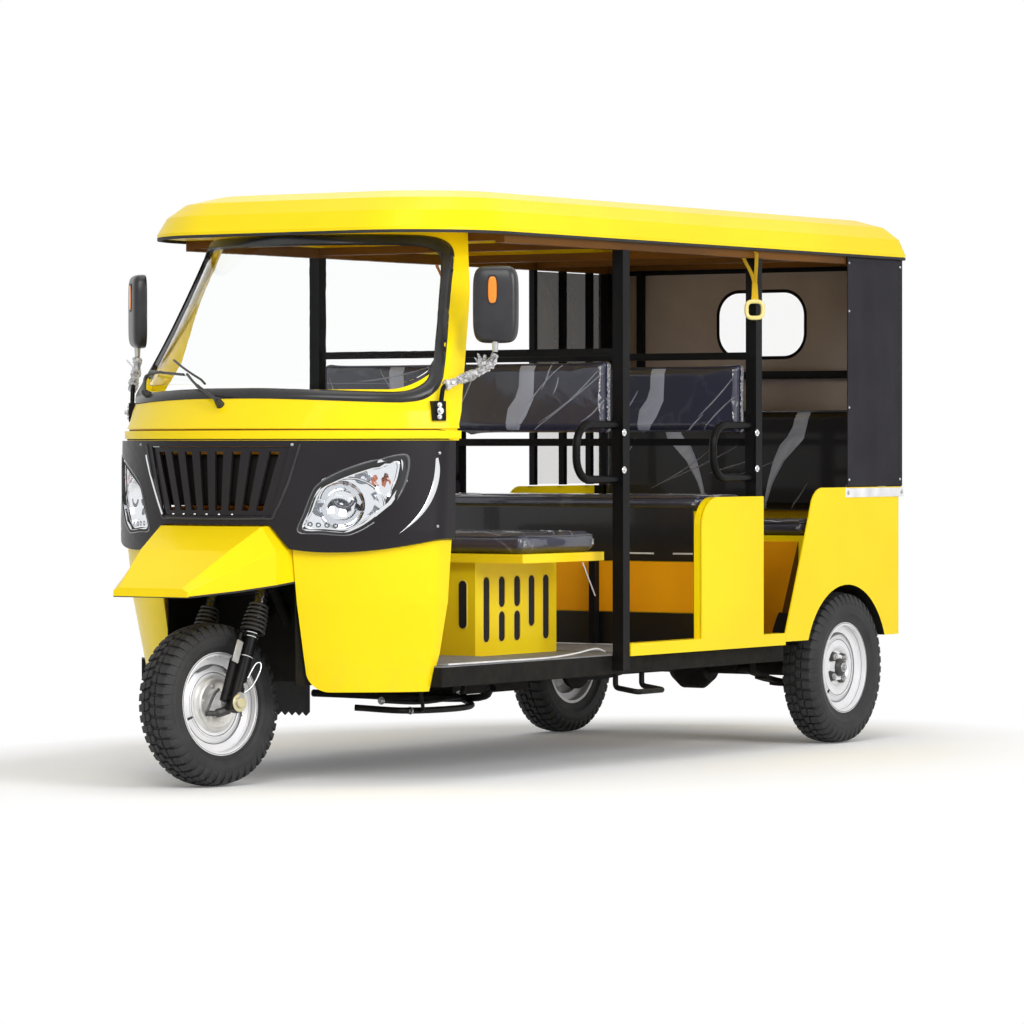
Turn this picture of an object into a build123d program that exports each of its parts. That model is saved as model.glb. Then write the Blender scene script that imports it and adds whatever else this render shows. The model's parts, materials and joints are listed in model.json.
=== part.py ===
from build123d import *
import os
from math import atan2, cos, degrees, radians, sin

os.makedirs("parts", exist_ok=True)

# Auto rickshaw: a three-wheeled passenger carrier with three rows of seats.
# Millimetres. The front points to -Y, +X is the vehicle's left, +Z is up. The
# origin lies on the ground, under the middle of the vehicle's whole length.

# ---- driving dimensions --------------------------------------------------
WHEEL_BASE = 2842
FRONT_OVERHANG = 290              # front axle to the mudguard's tip
REAR_OVERHANG = 458               # rear axle to the roof's rear lip
OVERALL_LENGTH = FRONT_OVERHANG + WHEEL_BASE + REAR_OVERHANG
FRONT_AXLE_Y = -OVERALL_LENGTH / 2 + FRONT_OVERHANG
REAR_AXLE_Y = FRONT_AXLE_Y + WHEEL_BASE
ROOF_REAR_Y = OVERALL_LENGTH / 2

BODY_HALF = 625                   # centre line to the side panels' outer faces
SKIN = 5                          # painted panels
SEAM = 1                          # gap between two skin panels
FIT = 0.3                         # gap between a loose piece and its seat

FRONT_TYRE_RADIUS = 248
REAR_TYRE_RADIUS = 262
TYRE_WIDTH = 130
RIM_RADIUS = 170                  # the rim flange's edge
BEAD_RADIUS = 152                 # where the tyre seats on the rim
REAR_TRACK = 2 * BODY_HALF - TYRE_WIDTH

RAKE = 24                         # steering axis, leaning back from vertical
PARK_ANGLE = -10.4                # the steering is parked turned to the right

RAIL_BOTTOM_Z = 298
RAIL_HEIGHT = 60
FLOOR_Z = RAIL_BOTTOM_Z + RAIL_HEIGHT
FLOOR_SHEET = 4
MAIN_RAIL_X = REAR_TRACK / 2 - TYRE_WIDTH
MAIN_RAIL_WIDTH = 50
SILL_X = BODY_HALF - 72           # middle of the outer sill rail
SILL_WIDTH = 50

BULKHEAD_Y = FRONT_AXLE_Y + 405   # upright sheet ahead of the driver's floor
RAIL_FRONT_Y = BULKHEAD_Y + 5

POST = 40                         # square body posts
POST_X = BODY_HALF - 25
POST_1_Y = FRONT_AXLE_Y + 1400
POST_2_Y = REAR_AXLE_Y - 602
REAR_POST_Y = REAR_AXLE_Y + 368
REAR_FACE_Y = REAR_AXLE_Y + 357   # rear panel, under the posts' ledge
ROOF_LIP_Z = 1695
ROOF_TOP_Z = 1832
ROOF_LIP_HALF = BODY_HALF + 9
ROOF_FRONT_Y = FRONT_AXLE_Y + 350
ROOF_RAIL = 34                    # rails under the roof's edge

NOSE_BOTTOM_Z = 285
BELT_Z = 1050                     # cowl's lower edge
SILL_SCREEN_Z = 1195              # windscreen's lower edge
MASK_FOOT_Z = 795                 # mask's lower edge over the mudguard
FENDER_HALF = 250


# ---- helpers -------------------------------------------------------------
def block(x0, x1, y0, y1, z0, z1, mode=Mode.ADD):
    """A rectangular block between two corners."""
    with Locations(((x0 + x1) / 2, (y0 + y1) / 2, (z0 + z1) / 2)):
        Box(abs(x1 - x0), abs(y1 - y0), abs(z1 - z0), mode=mode)


def rod(start, end, radius, mode=Mode.ADD):
    """A round bar from start to end."""
    run = Vector(*end) - Vector(*start)
    with BuildSketch(Plane(origin=start, z_dir=run)) as section:
        Circle(radius)
    extrude(section.sketch, amount=run.length, mode=mode)


def bent_tube(points, radius, bend):
    """A round tube along straight runs joined by arcs of one bend radius."""
    with BuildLine() as path:
        FilletPolyline(*points, radius=bend)
    with BuildSketch(Plane(origin=path.line @ 0, z_dir=path.line % 0)) as section:
        Circle(radius)
    sweep(section.sketch, path=path.line)


def plan_outline(front_y, half_width, radius, rear_y, corner):
    """Nose seen from above: a front of one radius, rounded into straight sides."""
    bow = radius - (radius**2 - half_width**2) ** 0.5
    with BuildSketch() as outline:
        with BuildLine():
            ThreePointArc((-half_width, front_y + bow), (0, front_y), (half_width, front_y + bow))
            Polyline((half_width, front_y + bow), (half_width, rear_y),
                     (-half_width, rear_y), (-half_width, front_y + bow))
        make_face()
        fillet(vertices().group_by(Axis.Y)[0], corner)
    return outline.sketch


def lofted_nose(sections, inset, behind=0):
    """The nose's closed form, drawn in by inset; behind runs it out rearwards."""
    with BuildPart() as form:
        for z, setback, half, radius, rear, corner in sections:
            with BuildSketch(Plane.XY.offset(z)):
                add(plan_outline(FRONT_AXLE_Y + setback + inset, half - inset, radius - inset,
                                 FRONT_AXLE_Y + rear + behind, max(corner - inset, 4)))
        loft(ruled=True)
    return form.part


# ---- nose sections: height, front setback from the axle, half width, front
# ---- radius, rear edge setback, corner radius
MASK_WALL, MASK_LIP = 6, 16       # the mask's wall, and its thicker lower lip
MASK_LIP_Z = 775
FAIRING = [
    (NOSE_BOTTOM_Z, 112, BODY_HALF - 95, 645, 412, 30),
    (400, 88, BODY_HALF - 66, 662, 424, 50),
    (560, 56, BODY_HALF - 42, 690, 434, 90),
    (MASK_LIP_Z, 12 + MASK_LIP + FIT, BODY_HALF - 14 - MASK_LIP - FIT, 700, 440, 94),
]
NOSE = [
    (MASK_FOOT_Z - 110, 14, BODY_HALF - 15, 716, 434, 110),
    (MASK_LIP_Z, 12, BODY_HALF - 14, 716, 434, 110),
    (BELT_Z, 6, BODY_HALF - 13, 692, 436, 110),
]
PANEL_LOW_Z = BELT_Z + 38         # cowl panel above its ledge and groove
COWL = [
    (BELT_Z, 8, BODY_HALF - 15, 655, 462, 50),
    (PANEL_LOW_Z, 10, BODY_HALF - 15, 657, 470, 50),
    (BELT_Z + 90, 58, BODY_HALF - 20, 692, 500, 60),
    (SILL_SCREEN_Z, 108, BODY_HALF - 34, 722, 540, 60),
    (1300, 168, BODY_HALF - 65, 668, 600, 50),
    (1450, 248, BODY_HALF - 84, 600, 680, 40),
    (ROOF_LIP_Z - FIT, 378, BODY_HALF - 124, 522, 790, 30),
]
# the pillars' rear edge, setback and height, from the belt to the roof
PILLAR_EDGE = [(456, BELT_Z), (458, 1100), (503, SILL_SCREEN_Z), (564, 1300), (629, 1500),
               (697, ROOF_LIP_Z)]
fairing_outer = lofted_nose(FAIRING, 0)
fairing_inner = lofted_nose(FAIRING, SKIN, behind=50)
nose_outer = lofted_nose(NOSE, 0)
nose_lip_inner = lofted_nose(NOSE, MASK_LIP, behind=50)
nose_inner = lofted_nose(NOSE[1:], MASK_WALL, behind=50)
LENS_DEPTH, LENS = 11, 3.5        # the lens's outer face behind the mask's, and its thickness
lamp_front = lofted_nose(NOSE, LENS_DEPTH)
lens_back = lofted_nose(NOSE, LENS_DEPTH + LENS, behind=50)
pocket_front = lofted_nose(NOSE, -20)
pocket_back = lofted_nose(NOSE, LENS_DEPTH + LENS + FIT, behind=80)
bowl_front = lofted_nose(NOSE, 2)
grille_front = lofted_nose(NOSE, SKIN + FIT)
grille_back = lofted_nose(NOSE, SKIN + 9, behind=50)
LAMP_DEPTH = 70
bowl_back = lofted_nose(NOSE, LAMP_DEPTH, behind=80)
dash_limit = lofted_nose(FAIRING, SKIN + 2, behind=50) + lofted_nose(NOSE[1:], MASK_WALL + 2, behind=50)
panel_front = lofted_nose(NOSE[1:], 45)
panel_back = lofted_nose(NOSE[1:], 49, behind=50)
cowl_outer = lofted_nose(COWL, 0)
COWL_WALL = 26
cowl_inner = lofted_nose(COWL, COWL_WALL, behind=60)
glass_front = lofted_nose(COWL, 8)
glass_back = lofted_nose(COWL, 13, behind=50)
gasket_front = lofted_nose(COWL, -5)
gasket_back = lofted_nose(COWL, 16, behind=50)

FAR = OVERALL_LENGTH              # a cut's reach, past any piece of the nose


def front_cut(mode):
    """Carry the pending outline, drawn as seen from the front, through the nose."""
    extrude(amount=FAR, both=True, mode=mode)


def mask_outline(drop=0):
    """The mask seen from the front: notched over the mudguard, deeper at the lamps."""
    with BuildSketch() as outline:
        with BuildLine():
            Polyline((-258, 722 - drop), (-200, MASK_FOOT_Z - drop),
                     (200, MASK_FOOT_Z - drop), (258, 722 - drop))
            ThreePointArc((258, 722 - drop), (430, 714 - drop), (660, 772 - drop))
            Polyline((660, 772 - drop), (660, BELT_Z + 60), (-660, BELT_Z + 60),
                     (-660, 772 - drop))
            ThreePointArc((-660, 772 - drop), (-430, 714 - drop), (-258, 722 - drop))
        make_face()
    return outline.sketch


# left lamp seen from the front: inner foot, inner shoulder, brow, outer top, ...
LAMP = [(282, 774), (317, 880), (349, 934), (443, 981), (541, 1010), (548, 928), (515, 858),
        (458, 794), (407, 763)]
BEZEL = 10                        # width of the ring round the lens


def lamp_outline(side, inset=0):
    """One headlamp seen from the front; side is +1 on the left."""
    with BuildSketch() as outline:
        with BuildLine():
            Polyline(*[(side * x, z) for x, z in LAMP], close=True)
        make_face()
        if inset:
            offset(amount=-inset, mode=Mode.REPLACE)
    return outline.sketch


def window_outline(grow=0):
    """The windscreen opening seen from the front."""
    low, high = SILL_SCREEN_Z + 10 - grow, ROOF_LIP_Z - 23 + grow
    foot, head = BODY_HALF - 56 + grow, BODY_HALF - 158 + grow
    with BuildSketch() as outline:
        with BuildLine():
            Polyline((-foot, low), (foot, low), (head, high), (-head, high), close=True)
        make_face()
        fillet(vertices(), 85 + grow)
    return outline.sketch


WINDOW_BACK = [(401, 1150), (707, 1750)]     # setback and height behind the window's sides


def window_plug(grow=0):
    """The window's outline carried back through the screen, short of the pillars."""
    with BuildPart() as plug:
        with BuildSketch(Plane.XZ):
            add(window_outline(grow))
        extrude(amount=FAR, both=True)
        with BuildSketch(Plane.YZ):
            with BuildLine():
                Polyline(*[(FRONT_AXLE_Y + setback, z) for setback, z in WINDOW_BACK],
                         (FRONT_AXLE_Y + 2 * FAR, WINDOW_BACK[1][1]),
                         (FRONT_AXLE_Y + 2 * FAR, WINDOW_BACK[0][1]), close=True)
            make_face()
        extrude(amount=FAR, both=True, mode=Mode.SUBTRACT)
    return plug.part


# ---- cowl: panel under the screen, pillars and header, one shell ------------
LEDGE_REACH, LEDGE_LOW_Z, LEDGE_HIGH_Z = 8, BELT_Z + 6, BELT_Z + 30
with BuildPart() as cowl:
    add(cowl_outer)
    add(lofted_nose([(LEDGE_LOW_Z, *COWL[0][1:]), (LEDGE_HIGH_Z, *COWL[0][1:])], -LEDGE_REACH))
    add(cowl_inner, mode=Mode.SUBTRACT)
    with BuildSketch(Plane.XY.offset(LEDGE_HIGH_Z)):
        Rectangle(2 * FAR, 2 * FAR)
        add(plan_outline(FRONT_AXLE_Y + 16, BODY_HALF - 22, 650, FRONT_AXLE_Y + 500, 42),
            mode=Mode.SUBTRACT)
    extrude(amount=7, mode=Mode.SUBTRACT)
    with BuildSketch(Plane.YZ):
        with BuildLine():
            Polyline(*[(FRONT_AXLE_Y + setback, z) for setback, z in PILLAR_EDGE],
                     (FRONT_AXLE_Y + PILLAR_EDGE[-1][0], ROOF_LIP_Z + 50),
                     (FRONT_AXLE_Y + 950, ROOF_LIP_Z + 50), (FRONT_AXLE_Y + 950, BELT_Z - 50),
                     (FRONT_AXLE_Y + PILLAR_EDGE[0][0], BELT_Z - 50), close=True)
        make_face()
    front_cut(Mode.SUBTRACT)
    add(window_plug(), mode=Mode.SUBTRACT)
cowl.part.label = "cowl"
export_step(cowl.part, "parts/cowl.step")

with BuildPart() as windscreen_gasket:
    add(gasket_front)
    add(gasket_back, mode=Mode.SUBTRACT)
    add(window_plug(-FIT), mode=Mode.INTERSECT)
    add(window_plug(-18), mode=Mode.SUBTRACT)
windscreen_gasket.part.label = "windscreen_gasket"
export_step(windscreen_gasket.part, "parts/windscreen_gasket.step")

# ---- windscreen --------------------------------------------------------------
with BuildPart() as windscreen:
    add(glass_front)
    add(glass_back, mode=Mode.SUBTRACT)
    add(window_plug(-18 - FIT), mode=Mode.INTERSECT)
windscreen.part.label = "windscreen"
export_step(windscreen.part, "parts/windscreen.step")

# ---- nose mask, grille and headlamps ------------------------------------------
GRILLE_TOP_Z, GRILLE_FOOT_Z = 1032, 822
GRILLE_TOP_HALF, GRILLE_FOOT_HALF = 262, 205
SLOT_COUNT = 8
SLOT_TOP_PITCH, SLOT_FOOT_PITCH = 61, 47
SLOT_TOP_WIDTH, SLOT_FOOT_WIDTH = 30, 22
SLOT_MARGIN = 16


def grille_outline(grow=0):
    """The grille's tapering opening seen from the front."""
    with BuildSketch() as outline:
        with BuildLine():
            Polyline((-GRILLE_FOOT_HALF - grow, GRILLE_FOOT_Z - grow),
                     (GRILLE_FOOT_HALF + grow, GRILLE_FOOT_Z - grow),
                     (GRILLE_TOP_HALF + grow, GRILLE_TOP_Z + grow),
                     (-GRILLE_TOP_HALF - grow, GRILLE_TOP_Z + grow), close=True)
        make_face()
    return outline.sketch


with BuildPart() as nose_mask:
    add(nose_outer)
    add(nose_lip_inner, mode=Mode.SUBTRACT)
    add(nose_inner, mode=Mode.SUBTRACT)
    with BuildSketch(Plane.XZ):
        add(mask_outline())
        add(grille_outline(), mode=Mode.SUBTRACT)
        add(lamp_outline(1), mode=Mode.SUBTRACT)
        add(lamp_outline(-1), mode=Mode.SUBTRACT)
    front_cut(Mode.INTERSECT)
nose_mask.part.label = "nose_mask"
export_step(nose_mask.part, "parts/nose_mask.step")

with BuildPart() as grille:
    add(grille_front)
    add(grille_back, mode=Mode.SUBTRACT)
    with BuildSketch(Plane.XZ):
        add(grille_outline(-1))
        for i in range(SLOT_COUNT):
            place = i - (SLOT_COUNT - 1) / 2
            top_x, foot_x = place * SLOT_TOP_PITCH, place * SLOT_FOOT_PITCH
            high, low = GRILLE_TOP_Z - SLOT_MARGIN, GRILLE_FOOT_Z + SLOT_MARGIN
            with BuildLine():
                Polyline((foot_x - SLOT_FOOT_WIDTH / 2, low), (foot_x + SLOT_FOOT_WIDTH / 2, low),
                         (top_x + SLOT_TOP_WIDTH / 2, high), (top_x - SLOT_TOP_WIDTH / 2, high),
                         close=True)
            make_face(mode=Mode.SUBTRACT)
    front_cut(Mode.INTERSECT)
grille.part.label = "grille"
export_step(grille.part, "parts/grille.step")

LAMP_CENTRE_X, LAMP_CENTRE_Z = 402, 855
BOWL_RADIUS = 78
BOWL_SETBACK = 126
with BuildPart() as lamp_pockets:
    add(pocket_front)
    add(pocket_back, mode=Mode.SUBTRACT)
    with BuildSketch(Plane.XZ):
        Rectangle(2 * FAR, 2 * FAR)
        add(lamp_outline(1, BEZEL), mode=Mode.SUBTRACT)
        add(lamp_outline(-1, BEZEL), mode=Mode.SUBTRACT)
    front_cut(Mode.SUBTRACT)

with BuildPart() as headlamp_bodies:
    add(bowl_front)
    add(bowl_back, mode=Mode.SUBTRACT)
    with BuildSketch(Plane.XZ):
        Rectangle(2 * FAR, 2 * FAR)
        add(lamp_outline(1, 1), mode=Mode.SUBTRACT)
        add(lamp_outline(-1, 1), mode=Mode.SUBTRACT)
    front_cut(Mode.SUBTRACT)
    add(lamp_pockets.part, mode=Mode.SUBTRACT)
    with Locations((LAMP_CENTRE_X, FRONT_AXLE_Y + BOWL_SETBACK, LAMP_CENTRE_Z),
                   (-LAMP_CENTRE_X, FRONT_AXLE_Y + BOWL_SETBACK, LAMP_CENTRE_Z)):
        Sphere(BOWL_RADIUS, mode=Mode.SUBTRACT)
headlamp_bodies.part.label = "headlamp_bodies"
export_step(headlamp_bodies.part, "parts/headlamp_bodies.step")

with BuildPart() as headlamp_lenses:
    add(lamp_front)
    add(lens_back, mode=Mode.SUBTRACT)
    with BuildSketch(Plane.XZ):
        Rectangle(2 * FAR, 2 * FAR)
        add(lamp_outline(1, BEZEL + FIT), mode=Mode.SUBTRACT)
        add(lamp_outline(-1, BEZEL + FIT), mode=Mode.SUBTRACT)
    front_cut(Mode.SUBTRACT)
headlamp_lenses.part.label = "headlamp_lenses"
export_step(headlamp_lenses.part, "parts/headlamp_lenses.step")

# ---- front fairings, mudguard and wheel housing ---------------------------------
ARCH_HALF = FENDER_HALF + 4       # opening between the two fairings
FAIRING_CORNER = 60
FAIRING_LAP = 24                  # how far the fairings reach up behind the mask's lip
with BuildPart() as front_fairings:
    add(fairing_outer)
    add(fairing_inner, mode=Mode.SUBTRACT)
    add(lofted_nose(NOSE, -40) - lofted_nose(NOSE, MASK_LIP + FIT, behind=80), mode=Mode.SUBTRACT)
    with BuildSketch(Plane.XZ):
        add(mask_outline(-FAIRING_LAP))
    front_cut(Mode.SUBTRACT)
    block(-FAR, FAR, RAIL_FRONT_Y - FIT, FAR, 0, FLOOR_Z + FLOOR_SHEET + FIT, mode=Mode.SUBTRACT)
    with BuildSketch(Plane.XZ):
        with BuildLine():
            Polyline((-ARCH_HALF - FAIRING_CORNER, NOSE_BOTTOM_Z - 50),
                     (-ARCH_HALF - FAIRING_CORNER, NOSE_BOTTOM_Z))
            RadiusArc((-ARCH_HALF - FAIRING_CORNER, NOSE_BOTTOM_Z),
                      (-ARCH_HALF, NOSE_BOTTOM_Z + FAIRING_CORNER), -FAIRING_CORNER)
            Polyline((-ARCH_HALF, NOSE_BOTTOM_Z + FAIRING_CORNER), (-ARCH_HALF, MASK_FOOT_Z + 20),
                     (ARCH_HALF, MASK_FOOT_Z + 20), (ARCH_HALF, NOSE_BOTTOM_Z + FAIRING_CORNER))
            RadiusArc((ARCH_HALF, NOSE_BOTTOM_Z + FAIRING_CORNER),
                      (ARCH_HALF + FAIRING_CORNER, NOSE_BOTTOM_Z), -FAIRING_CORNER)
            Polyline((ARCH_HALF + FAIRING_CORNER, NOSE_BOTTOM_Z),
                     (ARCH_HALF + FAIRING_CORNER, NOSE_BOTTOM_Z - 50),
                     (-ARCH_HALF - FAIRING_CORNER, NOSE_BOTTOM_Z - 50))
        make_face()
    front_cut(Mode.SUBTRACT)
front_fairings.part.label = "front_fairings"
export_step(front_fairings.part, "parts/front_fairings.step")

# mudguard: setback from the axle, half width of the crown, crown height,
# half width of the skirt, shoulder height, skirt's lower edge
FENDER = [
    (112, 195, 793, FENDER_HALF, 722, 622),
    (10, 192, 790, 246, 716, 612),
    (-120, 168, 720, 205, 668, 598),
    (-FRONT_OVERHANG, 118, 610, 140, 600, 584),
]


def lofted_fender(inset, drop, reach):
    """The mudguard's closed form; inset shrinks it, drop lowers its foot."""
    with BuildPart() as form:
        for setback, crown, crown_z, skirt, shoulder_z, foot_z in FENDER:
            nose = setback == -FRONT_OVERHANG
            y = FRONT_AXLE_Y + setback + (inset if nose else 0)
            y += reach if setback == FENDER[0][0] else 0
            with BuildSketch(Plane.XZ.offset(-y)):
                with BuildLine():
                    Polyline((-skirt + inset, foot_z - drop), (-skirt + inset, shoulder_z - inset),
                             (-crown + inset / 2, crown_z - inset), (crown - inset / 2, crown_z - inset),
                             (skirt - inset, shoulder_z - inset), (skirt - inset, foot_z - drop),
                             close=True)
                make_face()
        loft(ruled=True)
    return form.part


with BuildPart() as front_mudguard:
    add(lofted_fender(0, 0, 0))
    add(lofted_fender(SKIN, 20, 20), mode=Mode.SUBTRACT)
front_mudguard.part.label = "front_mudguard"
export_step(front_mudguard.part, "parts/front_mudguard.step")

# ---- steering frame of reference: origin at the hub, Z up the steering axis ------
TREAD_HALF = 50
TREAD_DROP = 5                    # the tread's edge under its crown
SIDEWALL_DROP = 26                # the shoulder under the crown


def tyre_section(radius):
    """Outline of a tyre's section, axial then radial, as (u, v) points."""
    bead = RIM_RADIUS + 1
    return [(45.5, BEAD_RADIUS + FIT), (45.5, bead), (57, bead + 6), (TYRE_WIDTH / 2, radius - 52),
            (TYRE_WIDTH / 2 - 4, radius - SIDEWALL_DROP), (TREAD_HALF, radius - TREAD_DROP),
            (TREAD_HALF / 2, radius - 1), (0, radius)]


lean = radians(RAKE)
turn = radians(PARK_ANGLE)
wheel_axis = Vector(cos(turn), cos(lean) * sin(turn), -sin(lean) * sin(turn))
camber = abs(wheel_axis.Z)
HUB_Z = max(v * (1 - camber**2) ** 0.5 + u * camber for u, v in tyre_section(FRONT_TYRE_RADIUS))
FRONT_HUB = (0, FRONT_AXLE_Y, HUB_Z)
STEER = Plane(origin=FRONT_HUB, x_dir=wheel_axis, z_dir=(0, sin(lean), cos(lean)))


def at(x, y, z):
    """A point of the steering frame in the vehicle's own frame."""
    point = STEER.from_local_coords(Vector(x, y, z))
    return (point.X, point.Y, point.Z)


LEG_X = 108
LEG_RADIUS = 22
STANCHION_RADIUS = 15
LEG_FOOT, LEG_TOP = -24, 232
YOKE_BOTTOM, YOKE_TOP = 372, 396
YOKE_HALF_LENGTH, YOKE_HALF_WIDTH = 136, 30
STEM_RADIUS = 15
STEM_TOP = 880
HEAD_BOTTOM, HEAD_TOP = 400, 560
HEAD_RADIUS = 27
AXLE_RADIUS = 10
RUNNING = 0.05                    # radial clearance of a running fit

with BuildPart() as front_fork:
    for side in (-1, 1):
        rod(at(side * LEG_X, 0, LEG_FOOT), at(side * LEG_X, 0, LEG_TOP), LEG_RADIUS)
        rod(at(side * LEG_X, 0, LEG_TOP), at(side * LEG_X, 0, YOKE_BOTTOM), STANCHION_RADIUS)
        rod(at(side * (LEG_X - LEG_RADIUS), 0, 0), at(side * (LEG_X + LEG_RADIUS), 0, 0),
            AXLE_RADIUS + RUNNING, mode=Mode.SUBTRACT)
    with BuildSketch(STEER.offset(YOKE_BOTTOM)):
        SlotOverall(2 * YOKE_HALF_LENGTH, 2 * YOKE_HALF_WIDTH)
    extrude(amount=YOKE_TOP - YOKE_BOTTOM)
    rod(at(0, 0, YOKE_TOP), at(0, 0, STEM_TOP), STEM_RADIUS)
front_fork.part.label = "front_fork"
export_step(front_fork.part, "parts/front_fork.step")

SPRING_RADIUS = 24
SPRING_FOOT = LEG_TOP + FIT
RING_COUNT = 9
RING_WIRE = 6
with BuildPart() as fork_springs:
    for side in (-1, 1):
        pitch = (YOKE_BOTTOM - FIT - SPRING_FOOT) / RING_COUNT
        for i in range(RING_COUNT):
            wide = SPRING_RADIUS if i < 4 else SPRING_RADIUS - 4
            low = SPRING_FOOT + i * pitch
            rod(at(side * LEG_X, 0, low), at(side * LEG_X, 0, low + RING_WIRE), wide)
            rod(at(side * LEG_X, 0, low + RING_WIRE), at(side * LEG_X, 0, low + pitch), wide - 4)
        rod(at(side * LEG_X, 0, SPRING_FOOT - 5), at(side * LEG_X, 0, YOKE_BOTTOM),
            STANCHION_RADIUS + FIT, mode=Mode.SUBTRACT)
fork_springs.part.label = "fork_springs"
export_step(fork_springs.part, "parts/fork_springs.step")

with BuildPart() as front_axle:
    rod(at(-LEG_X - 30, 0, 0), at(LEG_X + 30, 0, 0), AXLE_RADIUS)
    for side in (-1, 1):
        rod(at(side * (LEG_X + LEG_RADIUS + FIT), 0, 0), at(side * (LEG_X + 34), 0, 0), 17)
front_axle.part.label = "front_axle"
export_step(front_axle.part, "parts/front_axle.step")

BAR_RADIUS = 11
GRIP_RADIUS = 17
BAR_Z, GRIP_Z = STEM_TOP + BAR_RADIUS, 905
GRIP_X, GRIP_INNER_X, GRIP_Y = 345, 240, 96
with BuildPart() as handlebar:
    bent_tube([at(-GRIP_X, GRIP_Y, GRIP_Z), at(-200, 62, GRIP_Z), at(-110, 0, BAR_Z),
               at(110, 0, BAR_Z), at(200, 62, GRIP_Z), at(GRIP_X, GRIP_Y, GRIP_Z)], BAR_RADIUS, 40)
    rod(at(0, 0, STEM_TOP), at(0, 0, BAR_Z + 16), 24)
    for side in (-1, 1):
        rise = (GRIP_Y - 62) / (GRIP_X - 200)
        inner = at(side * GRIP_INNER_X, 62 + rise * (GRIP_INNER_X - 200), GRIP_Z)
        rod(inner, at(side * (GRIP_X + 4), GRIP_Y + 4 * rise, GRIP_Z), GRIP_RADIUS)
handlebar.part.label = "handlebar"
export_step(handlebar.part, "parts/handlebar.step")

# ---- wheels: one section table, turned about each wheel's own axis ----------------
RIM_HALF = 50
HUB_RADIUS = 38
DRUM_RADIUS = 78
FRONT_HUB_HALF = 78
RIM_SECTION = [(-RIM_HALF, RIM_RADIUS), (-46, RIM_RADIUS), (-46, BEAD_RADIUS), (-22, 150),
               (-16, 128), (16, 128), (22, 150), (46, BEAD_RADIUS), (46, RIM_RADIUS),
               (RIM_HALF, RIM_RADIUS), (RIM_HALF, 147), (25, 145), (19, 122), (-19, 122),
               (-25, 145), (-RIM_HALF, 147)]
DISC_SECTION = [(4, 123), (12, 123), (22, 100), (24, 70), (14, 58), (14, HUB_RADIUS - 2),
                (6, HUB_RADIUS - 2), (6, 60), (16, 73), (14, 98)]


def wheel_plane(centre, axis):
    """Plane holding a wheel's section: X along the axle, Y outwards."""
    return Plane(origin=centre, x_dir=axis, z_dir=Vector(*axis).cross(Vector(0, 0, 1)))


def turned(plane, points):
    """Turn one closed section about the plane's own X axis."""
    with BuildSketch(plane) as section:
        with BuildLine():
            Polyline(*points, close=True)
        make_face()
    revolve(section.sketch, axis=Axis(plane.origin, plane.x_dir))


def tyre_outline(radius):
    """The tyre's whole section, left and right."""
    half = tyre_section(radius)
    return half + [(-u, v) for u, v in reversed(half[:-1])]


def hub_section(half, radius, bore):
    return [(-half, bore), (-half, radius), (half, radius), (half, bore)]


front_plane = wheel_plane(FRONT_HUB, wheel_axis)
with BuildPart() as front_tyre:
    turned(front_plane, tyre_outline(FRONT_TYRE_RADIUS))
front_tyre.part.label = "front_tyre"
export_step(front_tyre.part, "parts/front_tyre.step")

with BuildPart() as front_wheel:
    turned(front_plane, RIM_SECTION)
    turned(front_plane, DISC_SECTION)
    turned(front_plane, hub_section(34, DRUM_RADIUS, AXLE_RADIUS + RUNNING))
    turned(front_plane, hub_section(FRONT_HUB_HALF, 24, AXLE_RADIUS + RUNNING))
front_wheel.part.label = "front_wheel"
export_step(front_wheel.part, "parts/front_wheel.step")

STUB_RADIUS = 18
for name, side in (("left", 1), ("right", -1)):
    rear_plane = wheel_plane((side * REAR_TRACK / 2, REAR_AXLE_Y, REAR_TYRE_RADIUS), (side, 0, 0))
    with BuildPart() as rear_tyre:
        turned(rear_plane, tyre_outline(REAR_TYRE_RADIUS))
    rear_tyre.part.label = f"rear_tyre_{name}"
    export_step(rear_tyre.part, f"parts/rear_tyre_{name}.step")
    with BuildPart() as rear_wheel:
        turned(rear_plane, RIM_SECTION)
        turned(rear_plane, DISC_SECTION)
        turned(rear_plane, hub_section(28, 44, STUB_RADIUS + RUNNING))
    rear_wheel.part.label = f"rear_wheel_{name}"
    export_step(rear_wheel.part, f"parts/rear_wheel_{name}.step")

# ---- wheel housing and mud flap ------------------------------------------------------
HOUSING_HALF = FENDER_HALF - SKIN - FIT
HOUSING_FRONT, HOUSING_REAR = FENDER[0][0] + FIT, 352
HOUSING_TOP_Z = 785
TUBE_X, TUBE_RADIUS = 36, 17      # the head frame's two down tubes
TUBE_TOP = (215, 690)             # setback and height at the head tube
TUBE_FOOT = (470, 330)


def down_tubes(radius, mode):
    for side in (-1, 1):
        rod((side * TUBE_X, FRONT_AXLE_Y + TUBE_TOP[0], TUBE_TOP[1]),
            (side * TUBE_X, FRONT_AXLE_Y + TUBE_FOOT[0], TUBE_FOOT[1]), radius, mode=mode)


with BuildPart() as wheel_housing:
    block(-HOUSING_HALF, HOUSING_HALF, FRONT_AXLE_Y + HOUSING_FRONT, FRONT_AXLE_Y + HOUSING_REAR,
          NOSE_BOTTOM_Z + 20, HOUSING_TOP_Z)
    block(-HOUSING_HALF + 4, HOUSING_HALF - 4, FRONT_AXLE_Y + HOUSING_FRONT - 10,
          FRONT_AXLE_Y + HOUSING_REAR - 4, NOSE_BOTTOM_Z, HOUSING_TOP_Z - 4, mode=Mode.SUBTRACT)
    rod(at(0, 0, HEAD_BOTTOM), at(0, 0, STEM_TOP), STEM_RADIUS + 8, mode=Mode.SUBTRACT)
    down_tubes(TUBE_RADIUS + FIT, Mode.SUBTRACT)
wheel_housing.part.label = "wheel_housing"
export_step(wheel_housing.part, "parts/wheel_housing.step")

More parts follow.
